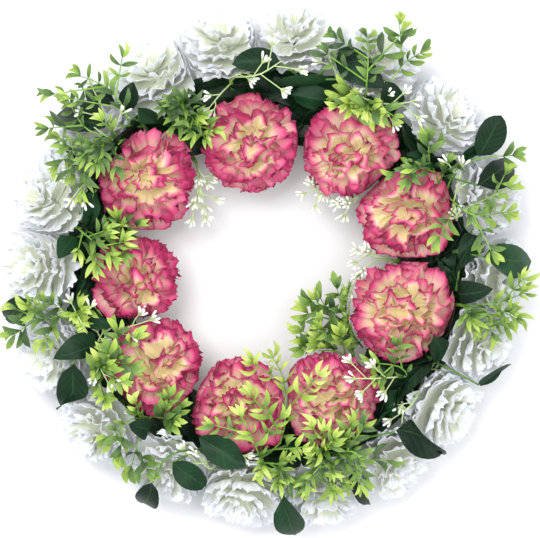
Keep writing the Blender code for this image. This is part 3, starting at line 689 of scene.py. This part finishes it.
# Sprays of dark leaves, with the places in mm that the solids' leaves have. Each has its stem, its
# leaves (twig, tip, width and, where there is one, the sideways lean of the face), then the base
# that its low leaves over the ring share, and their tips with half a width each

leafSprays = (
    (((-98, 113, 22), (-99, 114, 46), (-108, 125, 66)), (
        (((-104, 120, 57), (-120, 120, 77), (-137, 119, 84)), (-183, 128, 48), 34, 0.39, 0.45),
        (((-105, 122, 60), (-117, 130, 73), (-129, 138, 74)), (-152, 152, 48), 21),
        (((-106, 123, 62), (-113, 127, 75), (-120, 132, 75)), (-110, 158, 77), 17),
        (((-108, 124, 65), (-108, 131, 78), (-108, 137, 78)), (-86, 119, 59), 18)),
     (-100, 115, 48),
     ((-125, 120, 48, 7), (-70, 150, 43, 14), (-98, 83, 45, 9), (-56, 128, 48, 14))),
    (((35, 146, 22), (35, 148, 46), (38, 161, 66)), (
        (((37, 155, 57), (25, 164, 77), (13, 173, 85)), (-30, 173, 85), 22),
        (((37, 157, 60), (43, 161, 68), (48, 165, 63)), (7, 163, 59), 23),
        (((38, 159, 62), (52, 170, 75), (62, 185, 70)), (101, 153, 85), 28),
        (((38, 160, 65), (79, 159, 85), (101, 158, 86)), (114, 134, 59), 21)),
     (35, 149, 48),
     ((-4, 172, 48, 14), (80, 159, 48, 14), (-10, 139, 48, 14), (67, 115, 48, 14))),
    (((132, 72, 22), (134, 73, 46), (146, 80, 66)), (
        (((141, 77, 58), (161, 85, 70), (180, 93, 70)), (201, 130, 45), 27),
        (((143, 78, 62), (154, 83, 73), (164, 88, 72)), (189, 108, 45), 23),
        (((145, 80, 65), (163, 74, 81), (180, 69, 85)), (204, 81, 47), 26)),
     (135, 74, 48),
     ((133, 120, 48, 14), (166, 64, 48, 9), (98, 101, 48, 14), (137, 49, 48, 7))),
    (((150, 13, 22), (152, 13, 46), (166, 14, 66)), (
        (((161, 13, 58), (172, 11, 80), (184, 9, 89)), (222, 3, 51), 31, -0.02, 0.3),
        (((163, 14, 62), (169, 24, 73), (176, 33, 73)), (169, -6, 69), 21, -0.06, 0.29),
        (((166, 14, 65), (164, -3, 70), (162, -20, 63)), (192, -17, 83), 20)),
     (154, 13, 48),
     ((170, 56, 43, 14), (171, -30, 48, 14), (120, 43, 43, 14), (138, -30, 48, 14))),
    (((132, -73, 22), (134, -74, 46), (146, -81, 66)), (
        (((141, -78, 58), (142, -69, 81), (140, -57, 89)), (154, -79, 59), 21),
        (((143, -80, 62), (161, -89, 79), (181, -100, 66)), (199, -77, 51), 17),
        (((145, -81, 65), (143, -81, 73), (141, -82, 69)), (119, -114, 65), 22)),
     (135, -75, 48),
     ((163, -38, 48, 14), (138, -100, 48, 7), (145, -30, 48, 14), (90, -82, 48, 14))),
    (((59, -139, 22), (60, -140, 46), (66, -154, 66)), (
        (((64, -148, 58), (86, -144, 77), (109, -139, 84)), (153, -153, 45), 36, 0.24, 0.19),
        (((65, -151, 62), (68, -162, 77), (72, -174, 80)), (81, -198, 47), 22, -0.28, -0.11),
        (((65, -153, 65), (49, -167, 74), (28, -178, 84), (15, -194, 75)), (25, -230, 45), 27)),
     (61, -142, 48),
     ((107, -137, 48, 14), (58, -174, 48, 9), (97, -113, 48, 14), (33, -126, 45, 9))),
    (((-48, -142, 22), (-49, -144, 46), (-53, -158, 66)), (
        (((-51, -152, 57), (-55, -149, 77), (-54, -142, 83)), (-17, -170, 87), 27),
        (((-52, -153, 59), (-63, -157, 84), (-79, -165, 87)), (-49, -186, 77), 22),
        (((-52, -154, 61), (-81, -158, 102), (-96, -182, 75)), (-106, -202, 45), 22),
        (((-53, -156, 63), (-26, -161, 70), (6, -155, 69), (29, -148, 63)), (10, -172, 59), 17),
        (((-53, -157, 65), (-73, -148, 70), (-93, -140, 63)), (-118, -133, 83), 20)),
     (-49, -146, 48),
     ((-39, -176, 48, 9), (-94, -137, 48, 14), (-20, -133, 45, 9), (-82, -114, 48, 14))),
    (((-140, -52, 22), (-142, -53, 46), (-155, -57, 66)), (
        (((-150, -56, 58), (-156, -68, 79), (-164, -82, 85)), (-166, -126, 57), 28),
        (((-152, -56, 62), (-153, -61, 68), (-154, -66, 63)), (-180, -77, 83), 20, -0.12, 0.28),
        (((-154, -57, 65), (-169, -44, 77), (-185, -37, 77), (-201, -26, 74)), (-223, -44, 45), 22)),
     (-143, -53, 48),
     ((-161, -80, 45, 9), (-184, -33, 43, 14), (-106, -65, 48, 11), (-119, -14, 48, 14))),
    (((-145, 36, 22), (-147, 36, 46), (-160, 40, 66)), (
        (((-155, 38, 58), (-153, 29, 67), (-162, 25, 63)), (-177, 6, 85), 19),
        (((-157, 39, 62), (-151, 52, 76), (-144, 66, 78)), (-156, 36, 59), 20),
        (((-160, 39, 65), (-154, 62, 70), (-148, 85, 63)), (-171, 102, 65), 16)),
     (-148, 37, 48),
     ((-150, 82, 48, 14), (-119, 72, 48, 14))),
)
broadLeaf = {
    "seed": 299,
    "columns": 6, "rows": 9,
    "arch": 4.5 * mm, "fold": 0.16, "wave": 0.05, "bow": 0.07,
    "fullness": 2.52, "foot": 0.62, "point": 0.82,  # the outline
    "widen": 1.04,
    "wall": 0.35 * mm,
    "clear": 5.5 * mm,  # of the heads
    "petiole": 0.9 * mm,
}
backLeaves = {
    "count": 90, "arc": 22, "distance": (118, 190), "height": (38, 66), "length": (34, 48),
    "width": (19, 25), "rise": (-6, 12), "inside": 108 * mm, "outside": 212 * mm, "lean": 0.35,
    "clear": 0.88,  # a level in the heads
}
stemForm = {"radius": 1.8 * mm, "steps": 5, "sides": 6, "twigSides": 5}


def addLeaf(piece, base, tip, width, face, kind, draw, rimFrom=0.0, rimTo=1.0):
    along = tip - base
    across = along.cross(face).normalized()
    normal = across.cross(along).normalized()
    phase = draw.uniform(0, math.tau)
    bow = draw.uniform(-kind["bow"], kind["bow"]) * along.length
    arch = kind["arch"] * draw.uniform(0.7, 1.3)

    def place(side, t):
        half = 0.0
        if 0 < t < 1:
            half = width / 2 * kind["fullness"] * t ** kind["foot"] * (1 - t) ** kind["point"]
        point = base + along * t + across * (half * side + bow * 4 * t * (1 - t))
        lift = arch * 4 * t * (1 - t) + kind["fold"] * abs(side) * half * 2
        swing = math.sin(7 * t + phase + (1.2 if side > 0 else 0))
        lift += kind["wave"] * width * swing * abs(side)
        return bentClear(point + normal * lift, kind["clear"])

    addSheet(piece, kind["columns"], kind["rows"], place, draw.uniform(-1, 1),
             lambda side, t: rimFrom + (rimTo - rimFrom) * t)


def addBackLeaves(piece, root, draw):
    # the leaves behind the blooms, which hide the ring from the front
    form = backLeaves
    root = root - ringCentre
    middle = math.degrees(math.atan2(root.y, root.x))
    for _ in range(form["count"]):
        bearing = middle + draw.uniform(-1, 1) * form["arc"]
        base = polar(bearing, draw.uniform(*form["distance"]), draw.uniform(*form["height"]))
        turn = draw.uniform(0, math.tau)
        length = draw.uniform(*form["length"]) * mm
        rise = draw.uniform(*form["rise"]) * mm
        tip = base + Vector((math.cos(turn) * length, math.sin(turn) * length, rise))
        if not form["inside"] < (tip - ringCentre).to_2d().length < form["outside"]:
            continue
        lowest = min(levelInHead(head, base.lerp(tip, share), 0)
                     for head in heads for share in (0, 0.35, 0.7, 1))
        if lowest > form["clear"]:
            lean = form["lean"]
            face = up + Vector((draw.uniform(-lean, lean), draw.uniform(-lean, lean), 0))
            addLeaf(piece, base, tip, draw.uniform(*form["width"]) * mm, face, broadLeaf, draw)


def newSpray(stem, endRadius):
    piece = newPiece()
    steps = stemForm["steps"]
    radii = [stemForm["radius"]] * steps + [endRadius]
    addTube(piece, pathOf(stem, steps), radii, stemForm["sides"], 1, [0.2] * (steps + 1))
    return piece


def leafFace(lean):
    return Vector((*(lean or (0, 0)), 1))


def makeLeafSpray(stem, leaves, lowBase, lowTips, number):
    draw = random.Random(broadLeaf["seed"] + number)
    piece = newSpray(stem, 1.4 * mm)
    for twig, tip, width, *lean in leaves:
        path = pathOf(twig, 6)
        addTube(piece, path, [broadLeaf["petiole"]] * 7, stemForm["twigSides"], 1, [0.3] * 7)
        addLeaf(piece, path[-1], millimetres(tip), width * mm * broadLeaf["widen"], leafFace(lean),
                broadLeaf, draw)
    for *tip, half in lowTips:
        addLeaf(piece, millimetres(lowBase), millimetres(tip), half * 2 * mm, up, broadLeaf, draw)
    addBackLeaves(piece, millimetres(stem[0]), draw)
    finishPiece(piece, f"dark_leaf_spray_{number:02d}", (coatedLeaf, stemGreen),
                broadLeaf["wall"])


# Leafy sprigs: each has its stem and then its twigs, with the places in mm that the solids have

sprigs = (
    (((-107, 104, 22), (-108, 105, 46), (-119, 115, 66)),
     ((-114, 110, 57), (-120, 134, 87), (-135, 152, 93), (-157, 162, 77)),
     ((-115, 111, 59), (-137, 111, 86), (-154, 119, 89), (-166, 138, 70)),
     ((-116, 112, 61), (-132, 109, 83), (-155, 109, 79), (-174, 108, 70)),
     ((-117, 113, 63), (-131, 100, 84), (-145, 102, 82)),
     ((-118, 114, 65), (-136, 107, 83), (-151, 96, 88), (-163, 80, 84))),
    (((-67, 133, 22), (-68, 135, 46), (-75, 147, 66)),
     ((-72, 143, 58), (-62, 126, 74), (-52, 110, 78)),
     ((-73, 145, 62), (-73, 145, 68), (-73, 145, 61)),
     ((-74, 147, 65), (-77, 138, 73), (-79, 130, 69))),
    (((-146, 31, 22), (-148, 31, 46), (-162, 34, 66)),
     ((-157, 33, 60), (-134, 24, 67), (-110, 35, 75)),
     ((-161, 34, 65), (-146, 22, 82), (-131, 10, 86))),
    (((-146, -32, 22), (-148, -32, 46), (-162, -35, 66)),
     ((-157, -34, 60), (-184, -45, 79), (-211, -36, 70)),
     ((-161, -35, 65), (-157, -38, 73), (-153, -41, 68))),
    (((-126, -80, 22), (-128, -81, 46), (-140, -89, 66)),
     ((-135, -86, 58), (-145, -101, 74), (-164, -104, 71)),
     ((-137, -87, 62), (-138, -84, 78), (-135, -81, 81)),
     ((-139, -88, 65), (-129, -80, 86), (-111, -61, 86))),
    (((-91, -119, 22), (-93, -120, 46), (-101, -132, 66)),
     ((-98, -127, 57), (-86, -127, 75), (-75, -118, 79)),
     ((-99, -128, 60), (-103, -127, 69), (-108, -126, 66)),
     ((-100, -129, 62), (-115, -129, 82), (-133, -144, 83)),
     ((-101, -131, 65), (-108, -147, 74), (-114, -168, 69))),
    (((-4, -150, 22), (-4, -152, 46), (-5, -167, 66)),
     ((-5, -161, 58), (-5, -161, 75), (-13, -141, 91), (-21, -125, 98)),
     ((-5, -163, 62), (14, -145, 74), (16, -99, 67), (6, -78, 51)),
     ((-5, -166, 65), (14, -169, 77), (15, -187, 78))),
    (((97, -104, 12), (83, -88, 27), (75, -80, 34)),
     ((78, -83, 31), (68, -65, 42), (58, -46, 47), (47, -27, 47)),
     ((77, -82, 32), (72, -61, 43), (66, -40, 48), (61, -19, 47)),
     ((76, -81, 34), (54, -68, 46), (32, -55, 47))),
    (((114, -99, 22), (116, -100, 46), (126, -110, 66)),
     ((126, -109, 65), (116, -86, 74), (91, -81, 71))),
    (((47, -143, 22), (48, -145, 46), (52, -159, 66)),
     ((50, -153, 57), (49, -151, 81), (49, -138, 88)),
     ((51, -154, 60), (66, -152, 80), (80, -139, 84)),
     ((51, -156, 62), (46, -167, 85), (55, -188, 86)),
     ((52, -158, 65), (75, -156, 97), (85, -176, 79))),
    (((148, -29, 22), (150, -30, 46), (164, -32, 66)),
     ((160, -31, 60), (175, -32, 76), (200, -29, 78), (219, -22, 70)),
     ((163, -32, 65), (183, -37, 79), (202, -49, 70))),
    (((140, 56, 22), (142, 56, 46), (155, 62, 66)),
     ((150, 60, 58), (139, 87, 75), (109, 81, 82)),
     ((152, 60, 62), (162, 84, 73), (185, 93, 73), (209, 95, 70)),
     ((154, 61, 65), (174, 44, 100), (204, 47, 75))),
    (((78, 128, 22), (79, 130, 46), (86, 142, 66)),
     ((83, 137, 57), (95, 144, 82), (115, 171, 77), (131, 182, 70)),
     ((84, 138, 60), (85, 156, 93), (86, 175, 96), (86, 195, 70)),
     ((85, 140, 62), (86, 137, 80), (86, 132, 85)),
     ((86, 141, 65), (74, 143, 75), (64, 146, 70))),
)
smallLeaf = {
    "seed": 499,
    "columns": 2, "rows": 5,
    "arch": 3.0 * mm, "fold": 0.16, "wave": 0.05, "bow": 0.24,
    "fullness": 2.75, "foot": 0.75, "point": 0.80,
    "wall": 0.35 * mm,
    "clear": 3.5 * mm,
    "slimness": 0.28,
    "length": (11 * mm, 23 * mm), "taper": 0.25,  # they are shorter towards the twig's end
    "forwards": (0.3, 1.4), "rise": (-0.2, 0.9), "tilt": 0.5, "face": (-0.4, 0.9),  # directions
    "endLength": (11, 17), "endTurns": (-0.45, 0.0, 0.5), "endRise": (0, 0.3),
}
bluntLeaf = {"foot": 0.85, "point": 0.66}
leafyTwig = {
    "radius": 0.7 * mm,
    "spacing": 12.0 * mm,  # of the pairs of leaflets
    "ripeness": (-0.30, 0.16),
    "ripening": 0.45,  # from a twig's root to its end
    "tipRipeness": 0.35, "endRipeness": 0.45,  # from a leaflet's root to its tip
    "bluntShare": 0.5, "bluntSlimness": (0.31, 0.37),  # some sprigs have blunter, broader leaflets
    "shoots": ((0.18, 1), (0.34, -1), (0.50, 1), (0.68, -1)),  # place along the twig, and side
    "shootLength": (0.3, 0.5),
}
leafRoom = {"beside": 1 * mm, "below": -2 * mm, "above": 6 * mm}  # kept free around a broad leaf
# sprigs that are riper (above 0) or darker than the rest
sprigShift = {1: -0.22, 4: 0.18, 5: 0.10, 7: 0.30, 8: -0.12, 10: 0.10, 11: 0.12}

broadLeaves = []
for stem, leaves, lowBase, lowTips in leafSprays:
    for twig, tip, width, *lean in leaves:
        base = millimetres(twig[-1])
        along = millimetres(tip) - base
        across = along.cross(leafFace(lean)).normalized()
        broadLeaves.append((base, along, across, across.cross(along).normalized(), width * mm / 2))


def crossesLeaf(start, end):
    # whether a leaflet or shoot would go through a broad leaf, which arches up between its ends
    for base, along, across, normal, half in broadLeaves:
        for step in range(6):
            offset = start.lerp(end, step / 5) - base
            share = offset.dot(along) / along.length_squared
            inside = -0.05 < share < 1.05 and abs(offset.dot(across)) < half + leafRoom["beside"]
            if inside and leafRoom["below"] < offset.dot(normal) < leafRoom["above"]:
                return True
    return False


def addLeaflet(piece, point, tip, size, face, leaf, draw, ripe, ripening):
    if not crossesLeaf(point, tip):
        addLeaf(piece, point, tip, size * leaf["slimness"], face, leaf, draw, ripe, ripe + ripening)


def addLeafyTwig(piece, path, draw, leaf, ripeness, start=0.3):
    pairs = max(2, round(pathLength(path) * (1 - start) / leafyTwig["spacing"]))
    steps = len(path)
    radii = [leafyTwig["radius"] * (1.25 - 0.6 * i / (steps - 1)) for i in range(steps)]
    rims = [0.3 * i / steps for i in range(steps)]
    addTube(piece, path, radii, stemForm["twigSides"], 1, rims)
    for index in range(pairs):
        share = start + (1 - start) * (index + draw.uniform(0.2, 0.6)) / pairs
        point, along = pathAt(path, share)
        side = along.cross(up).normalized()
        side = (side + up * draw.uniform(-leaf["tilt"], leaf["tilt"])).normalized()
        for turn in (1, -1):
            size = draw.uniform(*leaf["length"]) * (1 - leaf["taper"] * share)
            rise = draw.uniform(*leaf["rise"]) * roomAbove(point)
            forwards = along * draw.uniform(*leaf["forwards"])
            direction = (forwards + side * turn + up * rise).normalized()
            tip = bentClear(point + direction * size, leaf["clear"])
            face = up + side * turn * draw.uniform(*leaf["face"])
            addLeaflet(piece, point, tip, size, face, leaf, draw,
                       ripeness + leafyTwig["ripening"] * share, leafyTwig["tipRipeness"])
    point, along = pathAt(path, 1.0)
    side = along.cross(up).normalized()
    for turn in leaf["endTurns"]:
        size = draw.uniform(*leaf["endLength"]) * mm
        direction = (along + side * turn + up * draw.uniform(*leaf["endRise"])).normalized()
        tip = bentClear(point + direction * size, leaf["clear"])
        addLeaflet(piece, point, tip, size, up, leaf, draw, ripeness + leafyTwig["ripening"],
                   leafyTwig["endRipeness"])


shootForm = {"forwards": 0.8, "arch": 0.06, "clear": 2 * mm, "steps": 5}


def sideTwig(path, share, turn, length, rise):
    # a shoot that leaves a twig to one side
    point, along = pathAt(path, share)
    side = along.cross(up).normalized()
    direction = along * shootForm["forwards"] + side * turn + up * rise * roomAbove(point)
    direction.z *= roomAbove(point) if direction.z > 0 else 1
    direction.normalize()
    middle = point + direction * length * 0.5 + up * length * shootForm["arch"]
    bent = [bentClear(place, shootForm["clear"]) for place in (middle, point + direction * length)]
    return smoothPath([point, *bent], shootForm["steps"])


def makeSprig(stem, twigs, number):
    draw = random.Random(smallLeaf["seed"] + number)
    piece = newSpray(stem, 1.2 * mm)
    leaf = dict(smallLeaf)
    if draw.random() < leafyTwig["bluntShare"]:
        leaf.update(bluntLeaf, slimness=draw.uniform(*leafyTwig["bluntSlimness"]))
    for twig in twigs:
        path = pathOf(twig, 7)
        ripeness = draw.uniform(*leafyTwig["ripeness"]) + sprigShift.get(number, 0)
        addLeafyTwig(piece, path, draw, leaf, ripeness)
        length = pathLength(path)
        for share, turn in leafyTwig["shoots"]:
            turn *= draw.uniform(0.5, 1.2)
            reach = length * draw.uniform(*leafyTwig["shootLength"])
            shoot = sideTwig(path, share, turn, reach, draw.uniform(0.0, 0.7))
            if not crossesLeaf(shoot[0], shoot[-1]):
                addLeafyTwig(piece, shoot, draw, leaf, ripeness + draw.uniform(-0.2, 0.1), 0.35)
    finishPiece(piece, f"leafy_sprig_{number:02d}", (softLeaf, sprigStem),
                smallLeaf["wall"])


# Sprays of white fillers: each has its stem and then its twigs, at the solids' places in mm

fillerSprays = (
    (((-123, 83, 22), (-125, 84, 46), (-137, 92, 66)),
     ((-132, 89, 58), (-128, 110, 82), (-148, 154, 71)),
     ((-134, 91, 62), (-148, 84, 74), (-162, 90, 75)),
     ((-136, 92, 65), (-150, 76, 82), (-163, 59, 87))),
    (((-28, 147, 22), (-28, 149, 46), (-31, 163, 66)),
     ((-30, 157, 58), (-39, 147, 70), (-48, 136, 69)),
     ((-30, 159, 62), (-23, 164, 76), (-17, 166, 69)),
     ((-31, 162, 65), (-7, 162, 95), (13, 174, 89))),
    (((62, 136, 22), (63, 138, 46), (68, 151, 66)),
     ((66, 146, 58), (60, 163, 75), (53, 179, 80)),
     ((67, 148, 62), (70, 155, 71), (76, 150, 68)),
     ((68, 150, 65), (86, 142, 77), (104, 138, 83), (123, 140, 84))),
    (((-78, 117, 12), (-66, 99, 27), (-60, 90, 34)),
     ((-62, 93, 31), (-57, 83, 45), (-51, 74, 46)),
     ((-61, 92, 32), (-57, 73, 46), (-53, 54, 47)),
     ((-60, 90, 34), (-56, 67, 47), (-63, 44, 48))),
    (((99, 101, 12), (84, 86, 27), (76, 78, 34)),
     ((79, 81, 31), (57, 72, 45), (35, 64, 48)),
     ((78, 80, 32), (61, 77, 46), (51, 64, 47)),
     ((77, 78, 34), (80, 62, 49), (63, 55, 51))),
    (((142, 7, 12), (121, 6, 27), (109, 5, 34)),
     ((114, 5, 31), (97, 9, 45), (80, 13, 47)),
     ((112, 5, 32), (94, 6, 46), (80, -5, 47)),
     ((110, 5, 34), (92, -5, 47), (73, -16, 48))),
    (((146, 38, 22), (148, 39, 46), (161, 42, 66)),
     ((157, 41, 60), (161, 63, 75), (166, 85, 77)),
     ((161, 42, 65), (161, 44, 72), (161, 46, 68))),
    (((124, -87, 22), (125, -88, 46), (137, -96, 66)),
     ((132, -93, 58), (114, -93, 72), (95, -94, 81), (76, -94, 85)),
     ((134, -94, 62), (125, -115, 72), (107, -129, 71)),
     ((136, -95, 65), (136, -87, 68), (144, -87, 59))),
    (((-33, -147, 22), (-33, -149, 46), (-37, -162, 66)),
     ((-35, -157, 58), (-29, -168, 73), (-14, -163, 69)),
     ((-36, -159, 62), (-47, -171, 80), (-58, -158, 87)),
     ((-36, -162, 65), (-57, -166, 83), (-80, -171, 86))),
    (((-135, -64, 22), (-137, -65, 46), (-150, -71, 66)),
     ((-144, -68, 57), (-155, -49, 82), (-165, -31, 70)),
     ((-146, -69, 60), (-143, -63, 70), (-139, -56, 68)),
     ((-147, -70, 62), (-127, -55, 76), (-99, -45, 75)),
     ((-149, -70, 65), (-141, -84, 79), (-134, -97, 81))),
)
filler = {
    "seed": 699,
    "twig": 0.75 * mm, "stalk": 0.5 * mm, "sides": 6,
    "longTwig": 60 * mm,
    "longShoots": ((0.42, -0.9), (0.55, 0.8), (0.7, -0.9), (0.84, 0.7)),  # place along it, and side
    "shortShoots": ((0.5, 0.9), (0.75, -1)),
    "shootLength": (0.2, 0.34),
    "florets": (4, 7), "floretLength": 9.4 * mm, "sizes": (0.85, 1.2),
    "firstLean": 0.15, "leans": (0.5, 1.0), "rise": 0.15,
    "club": 1.25 * mm,
    # along a floret: place, share of the club's radius (0 for the stalk's), and ripeness
    "profile": ((0.0, 0, 0.2), (0.35, 0, 0.35), (0.55, 0.85, 0.7), (0.80, 1, 0.9), (0.93, 0.8, 1.0),
                (1.0, 0.25, 1.0)),
}


def addUmbel(piece, point, along, draw):
    count = draw.randint(*filler["florets"])
    side = along.orthogonal().normalized()
    other = along.cross(side)
    start = draw.uniform(0, math.tau)
    shares, swellings, ripe = zip(*filler["profile"])
    radii = [filler["club"] * swelling or filler["stalk"] for swelling in swellings]
    for index in range(count):
        lean = filler["firstLean"] if index == 0 else draw.uniform(*filler["leans"])
        angle = start + math.tau * index / max(count - 1, 1)
        around = (side * math.cos(angle) + other * math.sin(angle)) * lean
        direction = (along + around + up * filler["rise"]).normalized()
        size = filler["floretLength"] * draw.uniform(*filler["sizes"])
        if not crossesLeaf(point, point + direction * size):
            path = [point + direction * size * share for share in shares]
            addTube(piece, path, radii, filler["sides"], 0, ripe)


def makeFiller(stem, twigs, number):
    draw = random.Random(filler["seed"] + number)
    piece = newSpray(stem, 1.2 * mm)
    for twig in twigs:
        path = pathOf(twig, 7)
        radii = [filler["twig"] * (1.2 - 0.5 * i / 7) for i in range(8)]
        rims = [0.1 + 0.2 * i / 7 for i in range(8)]
        addTube(piece, path, radii, stemForm["twigSides"], 0, rims)
        addUmbel(piece, *pathAt(path, 1.0), draw)
        length = pathLength(path)
        for share, turn in filler["longShoots" if length > filler["longTwig"] else "shortShoots"]:
            turn *= draw.uniform(0.7, 1.2)
            shoot = sideTwig(path, share, turn, length * draw.uniform(*filler["shootLength"]), 0.3)
            addTube(piece, shoot, [filler["stalk"]] * 6, stemForm["twigSides"], 0, [0.25] * 6)
            addUmbel(piece, *pathAt(shoot, 1.0), draw)
    finishPiece(piece, f"filler_spray_{number:02d}", (floretWhite, sprigStem))


# Building the wreath

picoteeCloth = makeCloth(picotee)
plainCloth = makeCloth(whiteCloth)
coatedLeaf = makeDarkLeaf()
softLeaf = makePlastic(brightLeaf)
floretWhite = makePlastic(floretPlastic)
stemGreen = makePlastic(stemPlastic)
sprigStem = makePlastic(sprigPlastic)
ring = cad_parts["base_ring"]
ring.data.materials.clear()
ring.data.materials.append(makeFoam())
print("materials made")

for number, head in enumerate(heads, 1):
    makeCarnation(head, number)
print("carnations made:", len(heads))
for number, spray in enumerate(leafSprays, 1):
    makeLeafSpray(*spray, number)
print("dark leaf sprays made:", len(leafSprays))
for number, (stem, *twigs) in enumerate(sprigs, 1):
    makeSprig(stem, twigs, number)
print("leafy sprigs made:", len(sprigs))
for number, (stem, *twigs) in enumerate(fillerSprays, 1):
    makeFiller(stem, twigs, number)
print("filler sprays made:", len(fillerSprays))


# The studio: a pale floor, soft light and the camera straight above

studio = {
    "floor": 6.0,
    "cameraHeight": 2.9, "sensor": 36, "clip": 50,
    "frameWidth": 0.4605, "frameHeightAt": 0.060,  # what the picture's width shows at that height
    "shift": (0.0034, -0.0014),
    "sky": "#F4F6FA", "skyStrength": 1.00,
    # each light's place, power and size
    "lights": {"key": ((-0.55, 0.65, 2.3), 31.0, 1.1), "fill": ((0.7, -0.3, 2.2), 12.0, 1.4)},
    "aim": (0, 0, 0.05),
}
floorPaint = {
    "name": "mattFloorPaint", "stops": {0.3: "#F7F7F8", 0.7: "#FBFBFB"},
    "mottleSize": 333.3, "roughness": 0.9, "shine": 0.1,
}


def makeFloor():
    # matt emulsion paint, rolled on, with faint differences
    plane = bmesh.new()
    bmesh.ops.create_grid(plane, x_segments=1, y_segments=1, size=studio["floor"] / 2)
    mesh = bpy.data.meshes.new("floor")
    plane.to_mesh(mesh)
    plane.free()
    made, tree, shader = newMaterial(floorPaint)
    paint(tree, shader, addMottle(tree, floorPaint["mottleSize"], 2.0), floorPaint)
    mesh.materials.append(made)
    addObject("floor", mesh)


def makeLights():
    world = bpy.data.worlds.new("softStudio")
    world.use_nodes = True
    sky = world.node_tree.nodes["Background"]
    sky.inputs["Color"].default_value = linear(studio["sky"])
    sky.inputs["Strength"].default_value = studio["skyStrength"]
    bpy.context.scene.world = world
    for name, (place, power, size) in studio["lights"].items():
        light = bpy.data.lights.new(name, "AREA")
        light.energy = power
        light.size = size
        lamp = addObject(name, light)
        lamp.location = place
        aim = Vector(studio["aim"]) - Vector(place)
        lamp.rotation_euler = aim.to_track_quat("-Z", "Y").to_euler()


def makeCamera():
    camera = bpy.data.cameras.new("camera")
    camera.sensor_width = studio["sensor"]
    distance = studio["cameraHeight"] - studio["frameHeightAt"]
    camera.lens = studio["sensor"] * distance / studio["frameWidth"]
    camera.clip_end = studio["clip"]
    view = addObject("camera", camera)
    view.location = (*studio["shift"], studio["cameraHeight"])
    bpy.context.scene.camera = view
    bpy.context.scene.view_settings.view_transform = "Standard"


makeFloor()
makeLights()
makeCamera()
print("studio made")
